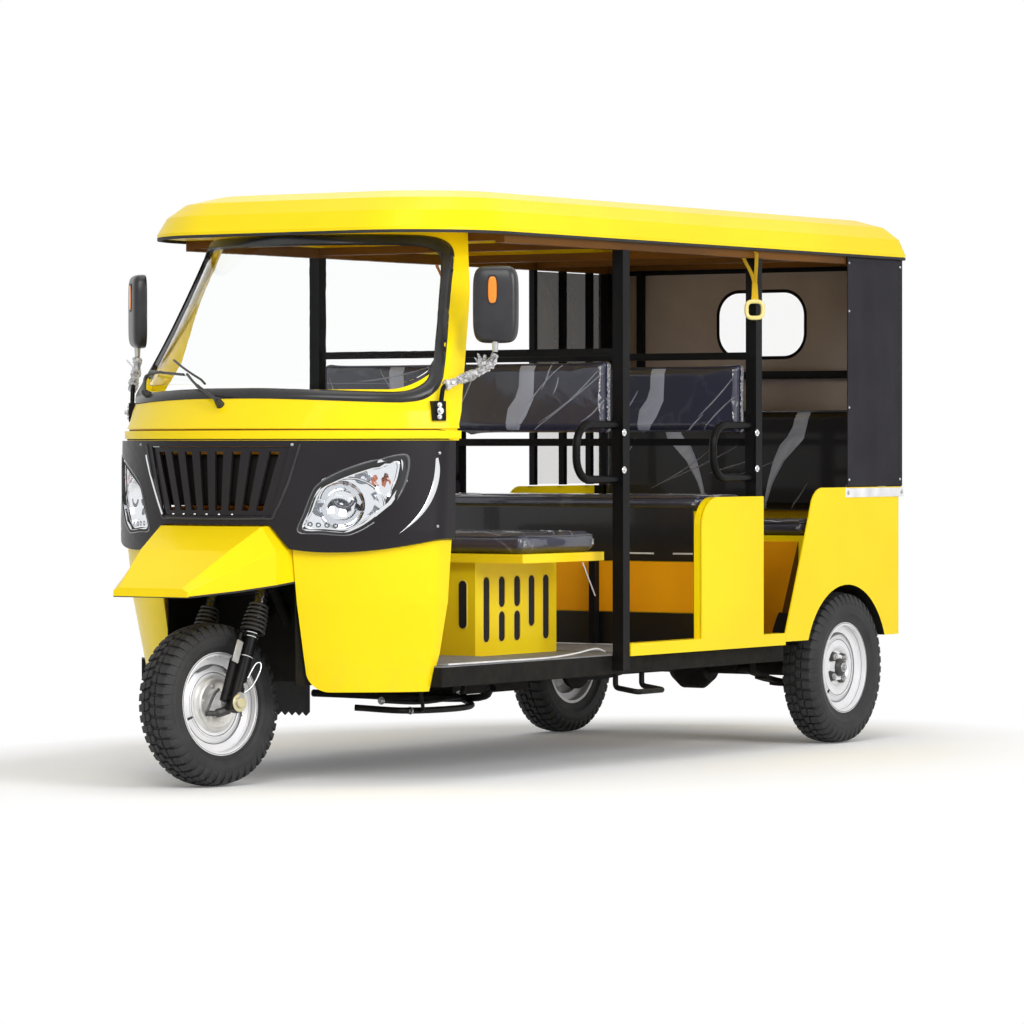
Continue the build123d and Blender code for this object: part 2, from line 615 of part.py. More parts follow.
FLAP_HALF = 120
FLAP_BOTTOM_Z, FLAP_TOP_Z = 200, 400
FLAP_TEETH = 9
with BuildPart() as mud_flap:
    with BuildSketch(Plane.XZ.offset(-(FRONT_AXLE_Y + HOUSING_REAR + 5))):
        tooth = 2 * FLAP_HALF / FLAP_TEETH
        teeth = [(-FLAP_HALF + (i + 0.5 * k) * tooth, FLAP_BOTTOM_Z + 12 * (1 - k))
                 for i in range(FLAP_TEETH) for k in (0, 1)]
        with BuildLine():
            Polyline((-FLAP_HALF, FLAP_TOP_Z), *teeth, (FLAP_HALF, FLAP_BOTTOM_Z + 12),
                     (FLAP_HALF, FLAP_TOP_Z), close=True)
        make_face()
    extrude(amount=5)
mud_flap.part.label = "mud_flap"
export_step(mud_flap.part, "parts/mud_flap.step")

# ---- chassis: two long rails with outriggers and sills, cross members, head frame ----
RAIL_REAR_Y = REAR_FACE_Y - 6
SILL_REAR_Y = REAR_AXLE_Y - 367
ENGINE_BOX_FRONT_Y, ENGINE_BOX_REAR_Y = FRONT_AXLE_Y + 1005, FRONT_AXLE_Y + 1480
CROSS_YS = [FRONT_AXLE_Y + 430, ENGINE_BOX_FRONT_Y - 20, ENGINE_BOX_REAR_Y + 20, POST_2_Y - 300,
            REAR_AXLE_Y - 452, REAR_AXLE_Y + 318]
CROSS = 40
RAIL_TOP_Z = RAIL_BOTTOM_Z + RAIL_HEIGHT
SPRING_REACH = 370
EYE_Z = 268
EYE_RADIUS, PIN_RADIUS = 13, 6
CHEEK = 6                         # hanger plates beside each spring eye
with BuildPart() as chassis_rails:
    for side in (-1, 1):
        inner, outer = MAIN_RAIL_X - MAIN_RAIL_WIDTH / 2, MAIN_RAIL_X + MAIN_RAIL_WIDTH / 2
        sill_in, sill_out = SILL_X - SILL_WIDTH / 2, SILL_X + SILL_WIDTH / 2
        block(side * inner, side * outer, RAIL_FRONT_Y, RAIL_REAR_Y, RAIL_BOTTOM_Z, RAIL_TOP_Z)
        block(side * sill_in, side * sill_out, RAIL_FRONT_Y, SILL_REAR_Y, RAIL_BOTTOM_Z, RAIL_TOP_Z)
        for y in CROSS_YS[:5]:
            block(side * outer, side * sill_in, y - CROSS / 2, y + CROSS / 2, RAIL_BOTTOM_Z + 10,
                  RAIL_TOP_Z)
        for end in (-1, 1):
            eye_y = REAR_AXLE_Y + end * SPRING_REACH
            for cheek in (-1, 1):
                face = side * MAIN_RAIL_X + cheek * MAIN_RAIL_WIDTH / 2
                block(face, face + cheek * CHEEK, eye_y - 18, eye_y + 18, EYE_Z - 16,
                      RAIL_BOTTOM_Z + 9)
            reach = MAIN_RAIL_WIDTH / 2 + CHEEK
            rod((side * MAIN_RAIL_X - reach, eye_y, EYE_Z), (side * MAIN_RAIL_X + reach, eye_y, EYE_Z),
                PIN_RADIUS)
chassis_rails.part.label = "chassis_rails"
export_step(chassis_rails.part, "parts/chassis_rails.step")

with BuildPart() as cross_members:
    for y in CROSS_YS:
        reach = MAIN_RAIL_X - MAIN_RAIL_WIDTH / 2
        block(-reach, reach, y - CROSS / 2, y + CROSS / 2, RAIL_BOTTOM_Z + 10, RAIL_TOP_Z)
cross_members.part.label = "cross_members"
export_step(cross_members.part, "parts/cross_members.step")

with BuildPart() as head_frame:
    rod(at(0, 0, HEAD_BOTTOM), at(0, 0, HEAD_TOP), HEAD_RADIUS)
    down_tubes(TUBE_RADIUS, Mode.ADD)
    block(-TUBE_X, TUBE_X, FRONT_AXLE_Y + 205, FRONT_AXLE_Y + 235, 655, 715)
    rod(at(0, 0, HEAD_BOTTOM - 60), at(0, 0, HEAD_TOP + 60), STEM_RADIUS + FIT, mode=Mode.SUBTRACT)
    block(-100, 100, CROSS_YS[0] - CROSS / 2, CROSS_YS[0] + CROSS, RAIL_BOTTOM_Z - 30, RAIL_TOP_Z,
          mode=Mode.SUBTRACT)
    block(-100, 100, CROSS_YS[0] + CROSS / 2, CROSS_YS[0] + 2 * CROSS, RAIL_BOTTOM_Z - 30,
          RAIL_TOP_Z + 60, mode=Mode.SUBTRACT)
head_frame.part.label = "head_frame"
export_step(head_frame.part, "parts/head_frame.step")

# ---- floor and bulkhead ------------------------------------------------------------------
FLOOR_TOP_Z = FLOOR_Z + FLOOR_SHEET
FLOOR_HALF = SILL_X + SILL_WIDTH / 2
ENGINE_BOX_HALF = 300
ENGINE_HALF = 200
ENGINE_BOTTOM_Z, ENGINE_TOP_Z = 235, 600
ENGINE_FRONT_Y = ENGINE_BOX_FRONT_Y + 20
ENGINE_REAR_Y = ENGINE_BOX_REAR_Y - 20
with BuildPart() as floor_pan:
    block(-FLOOR_HALF, FLOOR_HALF, RAIL_FRONT_Y, SILL_REAR_Y, FLOOR_Z, FLOOR_TOP_Z)
    block(-ENGINE_HALF - 10, ENGINE_HALF + 10, ENGINE_BOX_FRONT_Y + 8, ENGINE_BOX_REAR_Y - 8,
          FLOOR_Z - 1, FLOOR_TOP_Z + 1, mode=Mode.SUBTRACT)
    down_tubes(TUBE_RADIUS + FIT, Mode.SUBTRACT)
floor_pan.part.label = "floor_pan"
export_step(floor_pan.part, "parts/floor_pan.step")

# the lamps' and the grille's room inside the nose, which the dash shelf keeps clear of
with BuildPart() as lamp_room:
    add(lofted_nose(NOSE, 0))
    add(lofted_nose(NOSE, LAMP_DEPTH + 4, behind=80), mode=Mode.SUBTRACT)
    block(-BODY_HALF, BODY_HALF, FRONT_AXLE_Y, FRONT_AXLE_Y + 500, NOSE_BOTTOM_Z - 10,
          LAMP[0][1] - 20, mode=Mode.SUBTRACT)

# inner panel behind the grille, from the dash shelf up to the cowl's lower edge
with BuildPart() as nose_panel:
    add(panel_front)
    add(panel_back, mode=Mode.SUBTRACT)
    block(-FAR, FAR, -FAR, FAR, 0, 845, mode=Mode.SUBTRACT)
    for side in (-1, 1):
        block(side * 278, side * FAR, -FAR, FAR, 0, BELT_Z + 20, mode=Mode.SUBTRACT)

with BuildPart() as bulkhead:
    with BuildSketch(Plane.YZ):
        with BuildLine() as dash_line:
            Polyline((BULKHEAD_Y, FLOOR_TOP_Z), (BULKHEAD_Y, 620), (FRONT_AXLE_Y + 366, 795),
                     (FRONT_AXLE_Y + 30, 862), (FRONT_AXLE_Y + 30, 866),
                     (FRONT_AXLE_Y + 369, 799), (BULKHEAD_Y + 4, 621),
                     (BULKHEAD_Y + 4, FLOOR_TOP_Z), close=True)
        make_face()
    extrude(amount=BODY_HALF, both=True)
    add(dash_limit, mode=Mode.INTERSECT)
    add(nose_panel.part)
    add(lamp_room.part, mode=Mode.SUBTRACT)
    rod(at(0, 0, HEAD_BOTTOM), at(0, 0, STEM_TOP), STEM_RADIUS + 8, mode=Mode.SUBTRACT)
    down_tubes(TUBE_RADIUS + FIT, Mode.SUBTRACT)
bulkhead.part.label = "bulkhead"
export_step(bulkhead.part, "parts/bulkhead.step")

# ---- roof: rails, bows, shell with an inner ledge, black drip edge ------------------------
RAIL_HALF = ROOF_RAIL / 2
ROOF_FRAME_Z = ROOF_LIP_Z
RAIL_START_Y = FRONT_AXLE_Y + PILLAR_EDGE[-1][0] + FIT
RAIL_END_Y = REAR_POST_Y + POST / 2
with BuildPart() as roof_rails:
    for side in (-1, 1):
        block(side * (POST_X - RAIL_HALF), side * (POST_X + RAIL_HALF), RAIL_START_Y, RAIL_END_Y,
              ROOF_FRAME_Z - ROOF_RAIL, ROOF_FRAME_Z)
roof_rails.part.label = "roof_rails"
export_step(roof_rails.part, "parts/roof_rails.step")

BOW = 26
BOW_YS = [RAIL_START_Y + BOW / 2, POST_1_Y, POST_2_Y, (POST_2_Y + REAR_POST_Y) / 2, REAR_POST_Y]
with BuildPart() as roof_bows:
    for y in BOW_YS:
        reach = POST_X - RAIL_HALF
        block(-reach, reach, y - BOW / 2, y + BOW / 2, ROOF_FRAME_Z - BOW, ROOF_FRAME_Z)
roof_bows.part.label = "roof_bows"
export_step(roof_bows.part, "parts/roof_bows.step")

# roof: height, half width, front edge behind the lip, rear edge before the lip, corner
ROOF = [
    (ROOF_LIP_Z, ROOF_LIP_HALF, 0, 0, 330),
    (ROOF_LIP_Z + 9, ROOF_LIP_HALF, 0, 0, 330),
    (ROOF_LIP_Z + 62, ROOF_LIP_HALF - 16, 40, 22, 315),
    (ROOF_LIP_Z + 104, ROOF_LIP_HALF - 59, 95, 60, 290),
    (ROOF_TOP_Z - 8, ROOF_LIP_HALF - 134, 190, 130, 260),
    (ROOF_TOP_Z, ROOF_LIP_HALF - 304, 420, 380, 200),
]
ROOF_SKIN = 6
REAR_CORNER = 0.26                # rear corners' radius as a share of the front ones


def roof_plan(half, front, rear, corner, inset=0):
    """The roof seen from above, drawn in by inset."""
    with BuildSketch() as outline:
        with BuildLine():
            Polyline((half - inset, ROOF_FRONT_Y + front + inset),
                     (half - inset, ROOF_REAR_Y - rear - inset),
                     (-half + inset, ROOF_REAR_Y - rear - inset),
                     (-half + inset, ROOF_FRONT_Y + front + inset), close=True)
        make_face()
        fillet(outline.vertices().group_by(Axis.Y)[0], corner - inset)
        fillet(outline.vertices().group_by(Axis.Y)[-1], corner * REAR_CORNER - inset)
    return outline.sketch


def lofted_roof(inset, drop):
    """The roof's closed form, drawn in by inset and lowered by drop above its lip."""
    with BuildPart() as form:
        for z, half, front, rear, corner in ROOF:
            low = z if z == ROOF_LIP_Z else z - drop
            with BuildSketch(Plane.XY.offset(low)):
                add(roof_plan(half, front, rear, corner, inset))
        loft(ruled=True)
    return form.part


LEDGE_HALF = POST_X - 40
HEADER_DEPTH, TAIL_DEPTH = 376, 160   # the ledge's width at the front and at the rear
with BuildPart() as roof_shell:
    add(lofted_roof(0, 0))
    add(lofted_roof(ROOF_SKIN, ROOF_SKIN), mode=Mode.SUBTRACT)
    with BuildSketch(Plane.XY.offset(ROOF_LIP_Z)):
        add(roof_plan(ROOF_LIP_HALF, 0, 0, ROOF[0][4], 2))
        with Locations((0, (ROOF_FRONT_Y + HEADER_DEPTH + ROOF_REAR_Y - TAIL_DEPTH) / 2)):
            Rectangle(2 * LEDGE_HALF, ROOF_REAR_Y - TAIL_DEPTH - ROOF_FRONT_Y - HEADER_DEPTH,
                      mode=Mode.SUBTRACT)
    extrude(amount=4)
roof_shell.part.label = "roof_shell"
export_step(roof_shell.part, "parts/roof_shell.step")

DRIP = 9
with BuildPart() as drip_edge:
    with BuildSketch(Plane.XY.offset(ROOF_LIP_Z - DRIP)):
        add(roof_plan(ROOF_LIP_HALF, 0, 0, ROOF[0][4]))
        add(roof_plan(ROOF_LIP_HALF, 0, 0, ROOF[0][4], 13), mode=Mode.SUBTRACT)
    extrude(amount=DRIP)
drip_edge.part.label = "drip_edge"
export_step(drip_edge.part, "parts/drip_edge.step")

# ---- side frames --------------------------------------------------------------------------
SILL_COVER_BOTTOM_Z, SILL_COVER_TOP_Z = 356, 396
POST_TOP_Z = ROOF_FRAME_Z - ROOF_RAIL
QUARTER_TOP_Z = 887
CURTAIN = 4
QUARTER_BOTTOM_Z = 367
GUARD_YS = [REAR_AXLE_Y - 122, REAR_AXLE_Y + 73, REAR_AXLE_Y + 253]
GUARD_BAR = 22


def post(x, y, size, low, high):
    block(x - size / 2, x + size / 2, y - size / 2, y + size / 2, low, high)


with BuildPart() as body_posts:
    for side in (-1, 1):
        post(side * POST_X, POST_1_Y, POST, RAIL_BOTTOM_Z + 12, POST_TOP_Z)
        post(side * POST_X, POST_2_Y, POST, SILL_COVER_TOP_Z, POST_TOP_Z)
        post(side * POST_X, REAR_POST_Y, POST, QUARTER_TOP_Z, POST_TOP_Z)
        post(side * POST_X, REAR_FACE_Y - POST / 2, POST, QUARTER_BOTTOM_Z, QUARTER_TOP_Z)
    for y in GUARD_YS:
        post(-POST_X, y, GUARD_BAR, QUARTER_TOP_Z + 4, POST_TOP_Z)
body_posts.part.label = "body_posts"
export_step(body_posts.part, "parts/body_posts.step")

HANDLE_RADIUS = 13
HANDLE_REACH = 240
HANDLE_LOW_Z, HANDLE_HIGH_Z = 925, 1100
with BuildPart() as grab_handles:
    for side in (-1, 1):
        for y in (POST_1_Y, POST_2_Y):
            face_y = y - POST / 2
            x = side * (POST_X - 4)
            bent_tube([(x, face_y, HANDLE_HIGH_Z), (x, face_y - HANDLE_REACH, HANDLE_HIGH_Z),
                       (x, face_y - HANDLE_REACH, HANDLE_LOW_Z), (x, face_y, HANDLE_LOW_Z)],
                      HANDLE_RADIUS, 72)
            block(x - 15, x + 15, face_y - 6, face_y, HANDLE_LOW_Z - 22, HANDLE_HIGH_Z + 22)
grab_handles.part.label = "grab_handles"
export_step(grab_handles.part, "parts/grab_handles.step")

# ---- yellow side panels: sill cover and half-height panel, one pressing a side ---------------
PANEL_FRONT_Y, PANEL_REAR_Y = POST_2_Y - 380, POST_2_Y + 22
PANEL_TOP_Z = 862
PANEL_CORNER = 100
PANEL_RIM = 22
QUARTER_FOOT_Y = REAR_AXLE_Y - 432
with BuildPart() as side_panels:
    for side in (-1, 1):
        start, end = side * (BODY_HALF - SKIN), side * BODY_HALF
        block(side * (FLOOR_HALF + FIT), end, POST_1_Y + POST / 2 + FIT, QUARTER_FOOT_Y - SEAM,
              SILL_COVER_BOTTOM_Z, SILL_COVER_TOP_Z)
        for inner, rim in ((start, 0), (side * (BODY_HALF - SKIN - 3), PANEL_RIM)):
            with BuildSketch(Plane.YZ.offset(inner)) as outline:
                with BuildLine():
                    Polyline((PANEL_FRONT_Y, SILL_COVER_TOP_Z), (PANEL_FRONT_Y, PANEL_TOP_Z - PANEL_CORNER))
                    RadiusArc((PANEL_FRONT_Y, PANEL_TOP_Z - PANEL_CORNER),
                              (PANEL_FRONT_Y + PANEL_CORNER, PANEL_TOP_Z), PANEL_CORNER)
                    Polyline((PANEL_FRONT_Y + PANEL_CORNER, PANEL_TOP_Z), (PANEL_REAR_Y, PANEL_TOP_Z),
                             (PANEL_REAR_Y, SILL_COVER_TOP_Z), (PANEL_FRONT_Y, SILL_COVER_TOP_Z))
                make_face()
                if rim:
                    offset(amount=-4, mode=Mode.SUBTRACT)
            extrude(outline.sketch, amount=(SKIN if not rim else -side * rim) * (side if not rim else 1))
    for side in (-1, 1):
        block(side * (POST_X - POST / 2 - FIT), side * (BODY_HALF - SKIN), POST_2_Y - POST / 2 - FIT,
              PANEL_REAR_Y + 5, SILL_COVER_TOP_Z, PANEL_TOP_Z + 5, mode=Mode.SUBTRACT)
side_panels.part.label = "side_panels"
export_step(side_panels.part, "parts/side_panels.step")

# ---- rear quarter panels with arch and liner, rear panel, tail lamps -------------------------
ARCH_RADIUS = 288
ARCH_SETBACK = -10
LINER_X = REAR_TRACK / 2 - TYRE_WIDTH / 2 - 14
with BuildPart() as quarter_panels:
    for side in (-1, 1):
        with BuildSketch(Plane.YZ.offset(side * (BODY_HALF - SKIN))) as outline:
            with BuildLine():
                Polyline((QUARTER_FOOT_Y, QUARTER_BOTTOM_Z), (QUARTER_FOOT_Y, QUARTER_BOTTOM_Z + 30),
                         (QUARTER_FOOT_Y + 150, QUARTER_TOP_Z - 120), (QUARTER_FOOT_Y + 172, QUARTER_TOP_Z - 60))
                ThreePointArc((QUARTER_FOOT_Y + 172, QUARTER_TOP_Z - 60),
                              (QUARTER_FOOT_Y + 205, QUARTER_TOP_Z - 15), (QUARTER_FOOT_Y + 262, QUARTER_TOP_Z))
                Polyline((QUARTER_FOOT_Y + 262, QUARTER_TOP_Z), (REAR_FACE_Y, QUARTER_TOP_Z),
                         (REAR_FACE_Y, QUARTER_BOTTOM_Z), (QUARTER_FOOT_Y, QUARTER_BOTTOM_Z))
            make_face()
            with Locations((REAR_AXLE_Y + ARCH_SETBACK, REAR_TYRE_RADIUS)):
                Circle(ARCH_RADIUS, mode=Mode.SUBTRACT)
        extrude(outline.sketch, amount=side * SKIN)
        with BuildSketch(Plane.YZ.offset(side * LINER_X)) as liner:
            with Locations((REAR_AXLE_Y + ARCH_SETBACK, REAR_TYRE_RADIUS)):
                Circle(ARCH_RADIUS + 4)
                Circle(ARCH_RADIUS, mode=Mode.SUBTRACT)
            with Locations((REAR_AXLE_Y + ARCH_SETBACK, QUARTER_BOTTOM_Z - ARCH_RADIUS)):
                Rectangle(3 * ARCH_RADIUS, 2 * ARCH_RADIUS, mode=Mode.SUBTRACT)
        extrude(liner.sketch, amount=side * (BODY_HALF - SKIN - LINER_X))
        with BuildSketch(Plane.YZ.offset(side * LINER_X)) as wall:
            with Locations((REAR_AXLE_Y + ARCH_SETBACK, REAR_TYRE_RADIUS)):
                Circle(ARCH_RADIUS + 4)
            with Locations((REAR_AXLE_Y + ARCH_SETBACK, QUARTER_BOTTOM_Z - ARCH_RADIUS)):
                Rectangle(3 * ARCH_RADIUS, 2 * ARCH_RADIUS, mode=Mode.SUBTRACT)
        extrude(wall.sketch, amount=side * -3)
quarter_panels.part.label = "quarter_panels"
export_step(quarter_panels.part, "parts/quarter_panels.step")

with BuildPart() as rear_panel:
    block(-BODY_HALF, BODY_HALF, REAR_FACE_Y + FIT, REAR_FACE_Y + FIT + SKIN, QUARTER_BOTTOM_Z,
          QUARTER_TOP_Z)
    edges_at_back = rear_panel.edges().filter_by(Axis.Z).group_by(Axis.Y)[-1]
    fillet(edges_at_back, SKIN - 1)
    block(-BODY_HALF + SKIN, BODY_HALF - SKIN, REAR_FACE_Y + FIT, REAR_POST_Y + POST / 2 + CURTAIN,
          QUARTER_TOP_Z - 4, QUARTER_TOP_Z)
rear_panel.part.label = "rear_panel"
export_step(rear_panel.part, "parts/rear_panel.step")

LAMP_X, LAMP_LOW_Z, LAMP_HIGH_Z = 520, 640, 790
with BuildPart() as tail_lamps:
    for side in (-1, 1):
        block(side * (LAMP_X - 45), side * (LAMP_X + 45), REAR_FACE_Y + 2 * FIT + SKIN,
              REAR_FACE_Y + SKIN + 36, LAMP_LOW_Z, LAMP_HIGH_Z)
    fillet(tail_lamps.edges().filter_by(Axis.Y), 14)
tail_lamps.part.label = "tail_lamps"
export_step(tail_lamps.part, "parts/tail_lamps.step")

# ---- rear frame, rear curtain with its window, side curtain -----------------------------------
REAR_RAIL_Z = 1284
REAR_BAR_X = 450
WINDOW_HALF, WINDOW_LOW_Z, WINDOW_HIGH_Z = 192, 1347, 1582
WINDOW_CORNER = 62
with BuildPart() as rear_frame:
    reach = POST_X - POST / 2
    block(-reach, reach, REAR_POST_Y - 12, REAR_POST_Y + 12, REAR_RAIL_Z - 14, REAR_RAIL_Z + 14)
    for side in (-1, 1):
        post(side * REAR_BAR_X, REAR_POST_Y, 24, QUARTER_TOP_Z, ROOF_FRAME_Z - BOW)
rear_frame.part.label = "rear_frame"
export_step(rear_frame.part, "parts/rear_frame.step")


def rear_window_outline(grow=0):
    with BuildSketch() as outline:
        with Locations((0, (WINDOW_LOW_Z + WINDOW_HIGH_Z) / 2)):
            RectangleRounded(2 * WINDOW_HALF + 2 * grow, WINDOW_HIGH_Z - WINDOW_LOW_Z + 2 * grow,
                             WINDOW_CORNER + grow)
    return outline.sketch


CURTAIN_Y = REAR_POST_Y + POST / 2 + FIT
with BuildPart() as rear_curtain:
    block(-BODY_HALF + SKIN + CURTAIN, BODY_HALF - SKIN - CURTAIN, CURTAIN_Y, CURTAIN_Y + CURTAIN,
          QUARTER_TOP_Z + 0.5, ROOF_FRAME_Z - 10)
    with BuildSketch(Plane.XZ.offset(-CURTAIN_Y - CURTAIN)):
        add(rear_window_outline(FIT))
    extrude(amount=CURTAIN, mode=Mode.SUBTRACT)
rear_curtain.part.label = "rear_curtain"
export_step(rear_curtain.part, "parts/rear_curtain.step")

with BuildPart() as rear_window:
    with BuildSketch(Plane.XZ.offset(-CURTAIN_Y - CURTAIN / 2 - 1)):
        add(rear_window_outline())
    extrude(amount=2)
rear_window.part.label = "rear_window"
export_step(rear_window.part, "parts/rear_window.step")

CURTAIN_FRONT_Y = REAR_AXLE_Y - 4
with BuildPart() as side_curtain:
    block(POST_X + POST / 2 + FIT, POST_X + POST / 2 + FIT + CURTAIN, CURTAIN_FRONT_Y,
          CURTAIN_Y + CURTAIN, QUARTER_TOP_Z + 2, ROOF_FRAME_Z - 10)
side_curtain.part.label = "side_curtain"
export_step(side_curtain.part, "parts/side_curtain.step")

with BuildPart() as side_film:
    block(-POST_X - GUARD_BAR / 2 - FIT - 2, -POST_X - GUARD_BAR / 2 - FIT, GUARD_YS[0] - 10,
          REAR_POST_Y - POST / 2 - FIT, QUARTER_TOP_Z + 6, POST_TOP_Z - 2)
side_film.part.label = "side_film"
export_step(side_film.part, "parts/side_film.step")

# ---- driver's seat on the vented engine box ------------------------------------------------------
BOX_TOP_Z = 662
BOX_WALL = 4
BOARD_THICKNESS = 28
BOARD_HALF = 500
BOARD_FRONT_Y, BOARD_REAR_Y = FRONT_AXLE_Y + 975, FRONT_AXLE_Y + 1455
VENT_WIDTH = 20
# side vents: place behind the box's front face, then each slot's foot and top
SIDE_VENTS = [(62, 408, 612), (151, 408, 500), (151, 518, 612), (240, 408, 500), (240, 518, 612),
              (325, 452, 612), (410, 408, 612)]
FRONT_VENT_X, FRONT_VENT_FOOT, FRONT_VENT_TOP = 252, 453, 601
with BuildPart() as engine_box:
    block(-ENGINE_BOX_HALF, ENGINE_BOX_HALF, ENGINE_BOX_FRONT_Y, ENGINE_BOX_REAR_Y, FLOOR_TOP_Z,
          BOX_TOP_Z)
    block(-ENGINE_BOX_HALF + BOX_WALL, ENGINE_BOX_HALF - BOX_WALL, ENGINE_BOX_FRONT_Y + BOX_WALL,
          ENGINE_BOX_REAR_Y - BOX_WALL, FLOOR_TOP_Z - 1, BOX_TOP_Z - BOX_WALL, mode=Mode.SUBTRACT)
    with BuildSketch(Plane.YZ):
        for place, foot, top in SIDE_VENTS:
            with Locations((ENGINE_BOX_FRONT_Y + place, (foot + top) / 2)):
                SlotOverall(top - foot, VENT_WIDTH, rotation=90)
    extrude(amount=FAR, both=True, mode=Mode.SUBTRACT)
    with BuildSketch(Plane.XZ.offset(-ENGINE_BOX_FRONT_Y - BOX_WALL - 2)):
        for side in (-1, 1):
            with Locations((side * FRONT_VENT_X, (FRONT_VENT_FOOT + FRONT_VENT_TOP) / 2)):
                SlotOverall(FRONT_VENT_TOP - FRONT_VENT_FOOT, VENT_WIDTH, rotation=90)
    extrude(amount=BOX_WALL + 10, mode=Mode.SUBTRACT)
    block(-BOARD_HALF, BOARD_HALF, BOARD_FRONT_Y, BOARD_REAR_Y, BOX_TOP_Z, BOX_TOP_Z + BOARD_THICKNESS)
    block(-BOARD_HALF + BOX_WALL, BOARD_HALF - BOX_WALL, BOARD_FRONT_Y + BOX_WALL,
          BOARD_REAR_Y - BOX_WALL, BOX_TOP_Z - 1, BOX_TOP_Z + BOARD_THICKNESS - BOX_WALL,
          mode=Mode.SUBTRACT)
    block(-ENGINE_BOX_HALF, ENGINE_BOX_HALF, ENGINE_BOX_FRONT_Y, ENGINE_BOX_REAR_Y - 40,
          BOX_TOP_Z - BOX_WALL, BOX_TOP_Z + BOARD_THICKNESS)
engine_box.part.label = "engine_box"
export_step(engine_box.part, "parts/engine_box.step")

with BuildPart() as engine_block:
    block(-ENGINE_HALF, ENGINE_HALF, ENGINE_FRONT_Y, ENGINE_REAR_Y, ENGINE_BOTTOM_Z, ENGINE_TOP_Z)
engine_block.part.label = "engine_block"
export_step(engine_block.part, "parts/engine_block.step")


def pad(x_half, y0, y1, z0, z1, round_off):
    """A plain closed cushion with rounded long edges."""
    with BuildPart() as form:
        with BuildSketch(Plane.YZ):
            with Locations(((y0 + y1) / 2, (z0 + z1) / 2)):
                RectangleRounded(y1 - y0, z1 - z0, round_off)
        extrude(amount=x_half, both=True)
    return form.part


PAD_HALF = POST_X - POST / 2 - 5
BOARD_TOP_Z = BOX_TOP_Z + BOARD_THICKNESS
with BuildPart() as driver_cushion:
    add(pad(BOARD_HALF, BOARD_FRONT_Y, BOARD_REAR_Y, BOARD_TOP_Z + FIT, BOARD_TOP_Z + 68, 26))
driver_cushion.part.label = "driver_cushion"
export_step(driver_cushion.part, "parts/driver_cushion.step")

# ---- backrests of the driver's and the second row, on rails between the posts -----------------------
REST_LOW_Z, REST_HIGH_Z = 1056, 1322
REST_THICKNESS = 62
SEAT_RAIL = 24
with BuildPart() as backrest_rails:
    for y in (POST_1_Y, POST_2_Y):
        for z in (REST_LOW_Z - SEAT_RAIL / 2, REST_HIGH_Z + SEAT_RAIL / 2):
            block(-POST_X + POST / 2, POST_X - POST / 2, y - SEAT_RAIL / 2, y + SEAT_RAIL / 2,
                  z - SEAT_RAIL / 2, z + SEAT_RAIL / 2)
backrest_rails.part.label = "backrest_rails"
export_step(backrest_rails.part, "parts/backrest_rails.step")

with BuildPart() as driver_backrest:
    add(pad(PAD_HALF, POST_1_Y - REST_THICKNESS / 2, POST_1_Y + REST_THICKNESS / 2, REST_LOW_Z + FIT,
            REST_HIGH_Z - FIT, 24))
driver_backrest.part.label = "driver_backrest"
export_step(driver_backrest.part, "parts/driver_backrest.step")

with BuildPart() as middle_backrest:
    add(pad(PAD_HALF, POST_2_Y - REST_THICKNESS / 2, POST_2_Y + REST_THICKNESS / 2, REST_LOW_Z + FIT,
            REST_HIGH_Z - FIT, 24))
middle_backrest.part.label = "middle_backrest"
export_step(middle_backrest.part, "parts/middle_backrest.step")

# ---- middle bench ---------------------------------------------------------------------------------
MIDDLE_FRONT_Y, MIDDLE_REAR_Y = POST_2_Y - 310, POST_2_Y + 30
MIDDLE_TOP_Z = 815
KICK_LOW_Z, KICK_HIGH_Z = 467, 648
LEG_SIZE = 28
BENCH_HALF = POST_X - POST / 2 - FIT
with BuildPart() as middle_bench:
    block(-BENCH_HALF, BENCH_HALF, MIDDLE_FRONT_Y, MIDDLE_REAR_Y, MIDDLE_TOP_Z - 6, MIDDLE_TOP_Z)
    block(-BENCH_HALF, BENCH_HALF, MIDDLE_FRONT_Y, MIDDLE_FRONT_Y + 5, KICK_LOW_Z, MIDDLE_TOP_Z)
    for x in (-540, 0, 540):
        for y in (MIDDLE_FRONT_Y + 5 + LEG_SIZE / 2, MIDDLE_REAR_Y - LEG_SIZE / 2):
            post(x, y, LEG_SIZE, FLOOR_TOP_Z, MIDDLE_TOP_Z - 6)
middle_bench.part.label = "middle_bench"
export_step(middle_bench.part, "parts/middle_bench.step")

with BuildPart() as middle_cushion:
    add(pad(PAD_HALF, MIDDLE_FRONT_Y, MIDDLE_REAR_Y - 6, MIDDLE_TOP_Z + FIT, MIDDLE_TOP_Z + 54, 22))
middle_cushion.part.label = "middle_cushion"
export_step(middle_cushion.part, "parts/middle_cushion.step")

# ---- rear bench ----------------------------------------------------------------------------------
REAR_FRONT_Y = REAR_AXLE_Y - 222
REAR_SEAT_Z = 722
BENCH_REAR_Y = REAR_POST_Y - POST / 2 - FIT
WELL_HALF = LINER_X - 3 - FIT
with BuildPart() as rear_bench:
    block(-BENCH_HALF, BENCH_HALF, REAR_FRONT_Y, BENCH_REAR_Y, REAR_SEAT_Z - 5, REAR_SEAT_Z)
    block(-WELL_HALF, WELL_HALF, REAR_FRONT_Y, REAR_FRONT_Y + 5, RAIL_TOP_Z, REAR_SEAT_Z)
    for side in (-1, 1):
        block(side * WELL_HALF, side * BENCH_HALF, REAR_FRONT_Y, REAR_FRONT_Y + 5,
              REAR_TYRE_RADIUS + ARCH_RADIUS + 8, REAR_SEAT_Z)
        block(side * WELL_HALF, side * (WELL_HALF - 5), REAR_FRONT_Y, BENCH_REAR_Y, RAIL_TOP_Z,
              REAR_SEAT_Z)
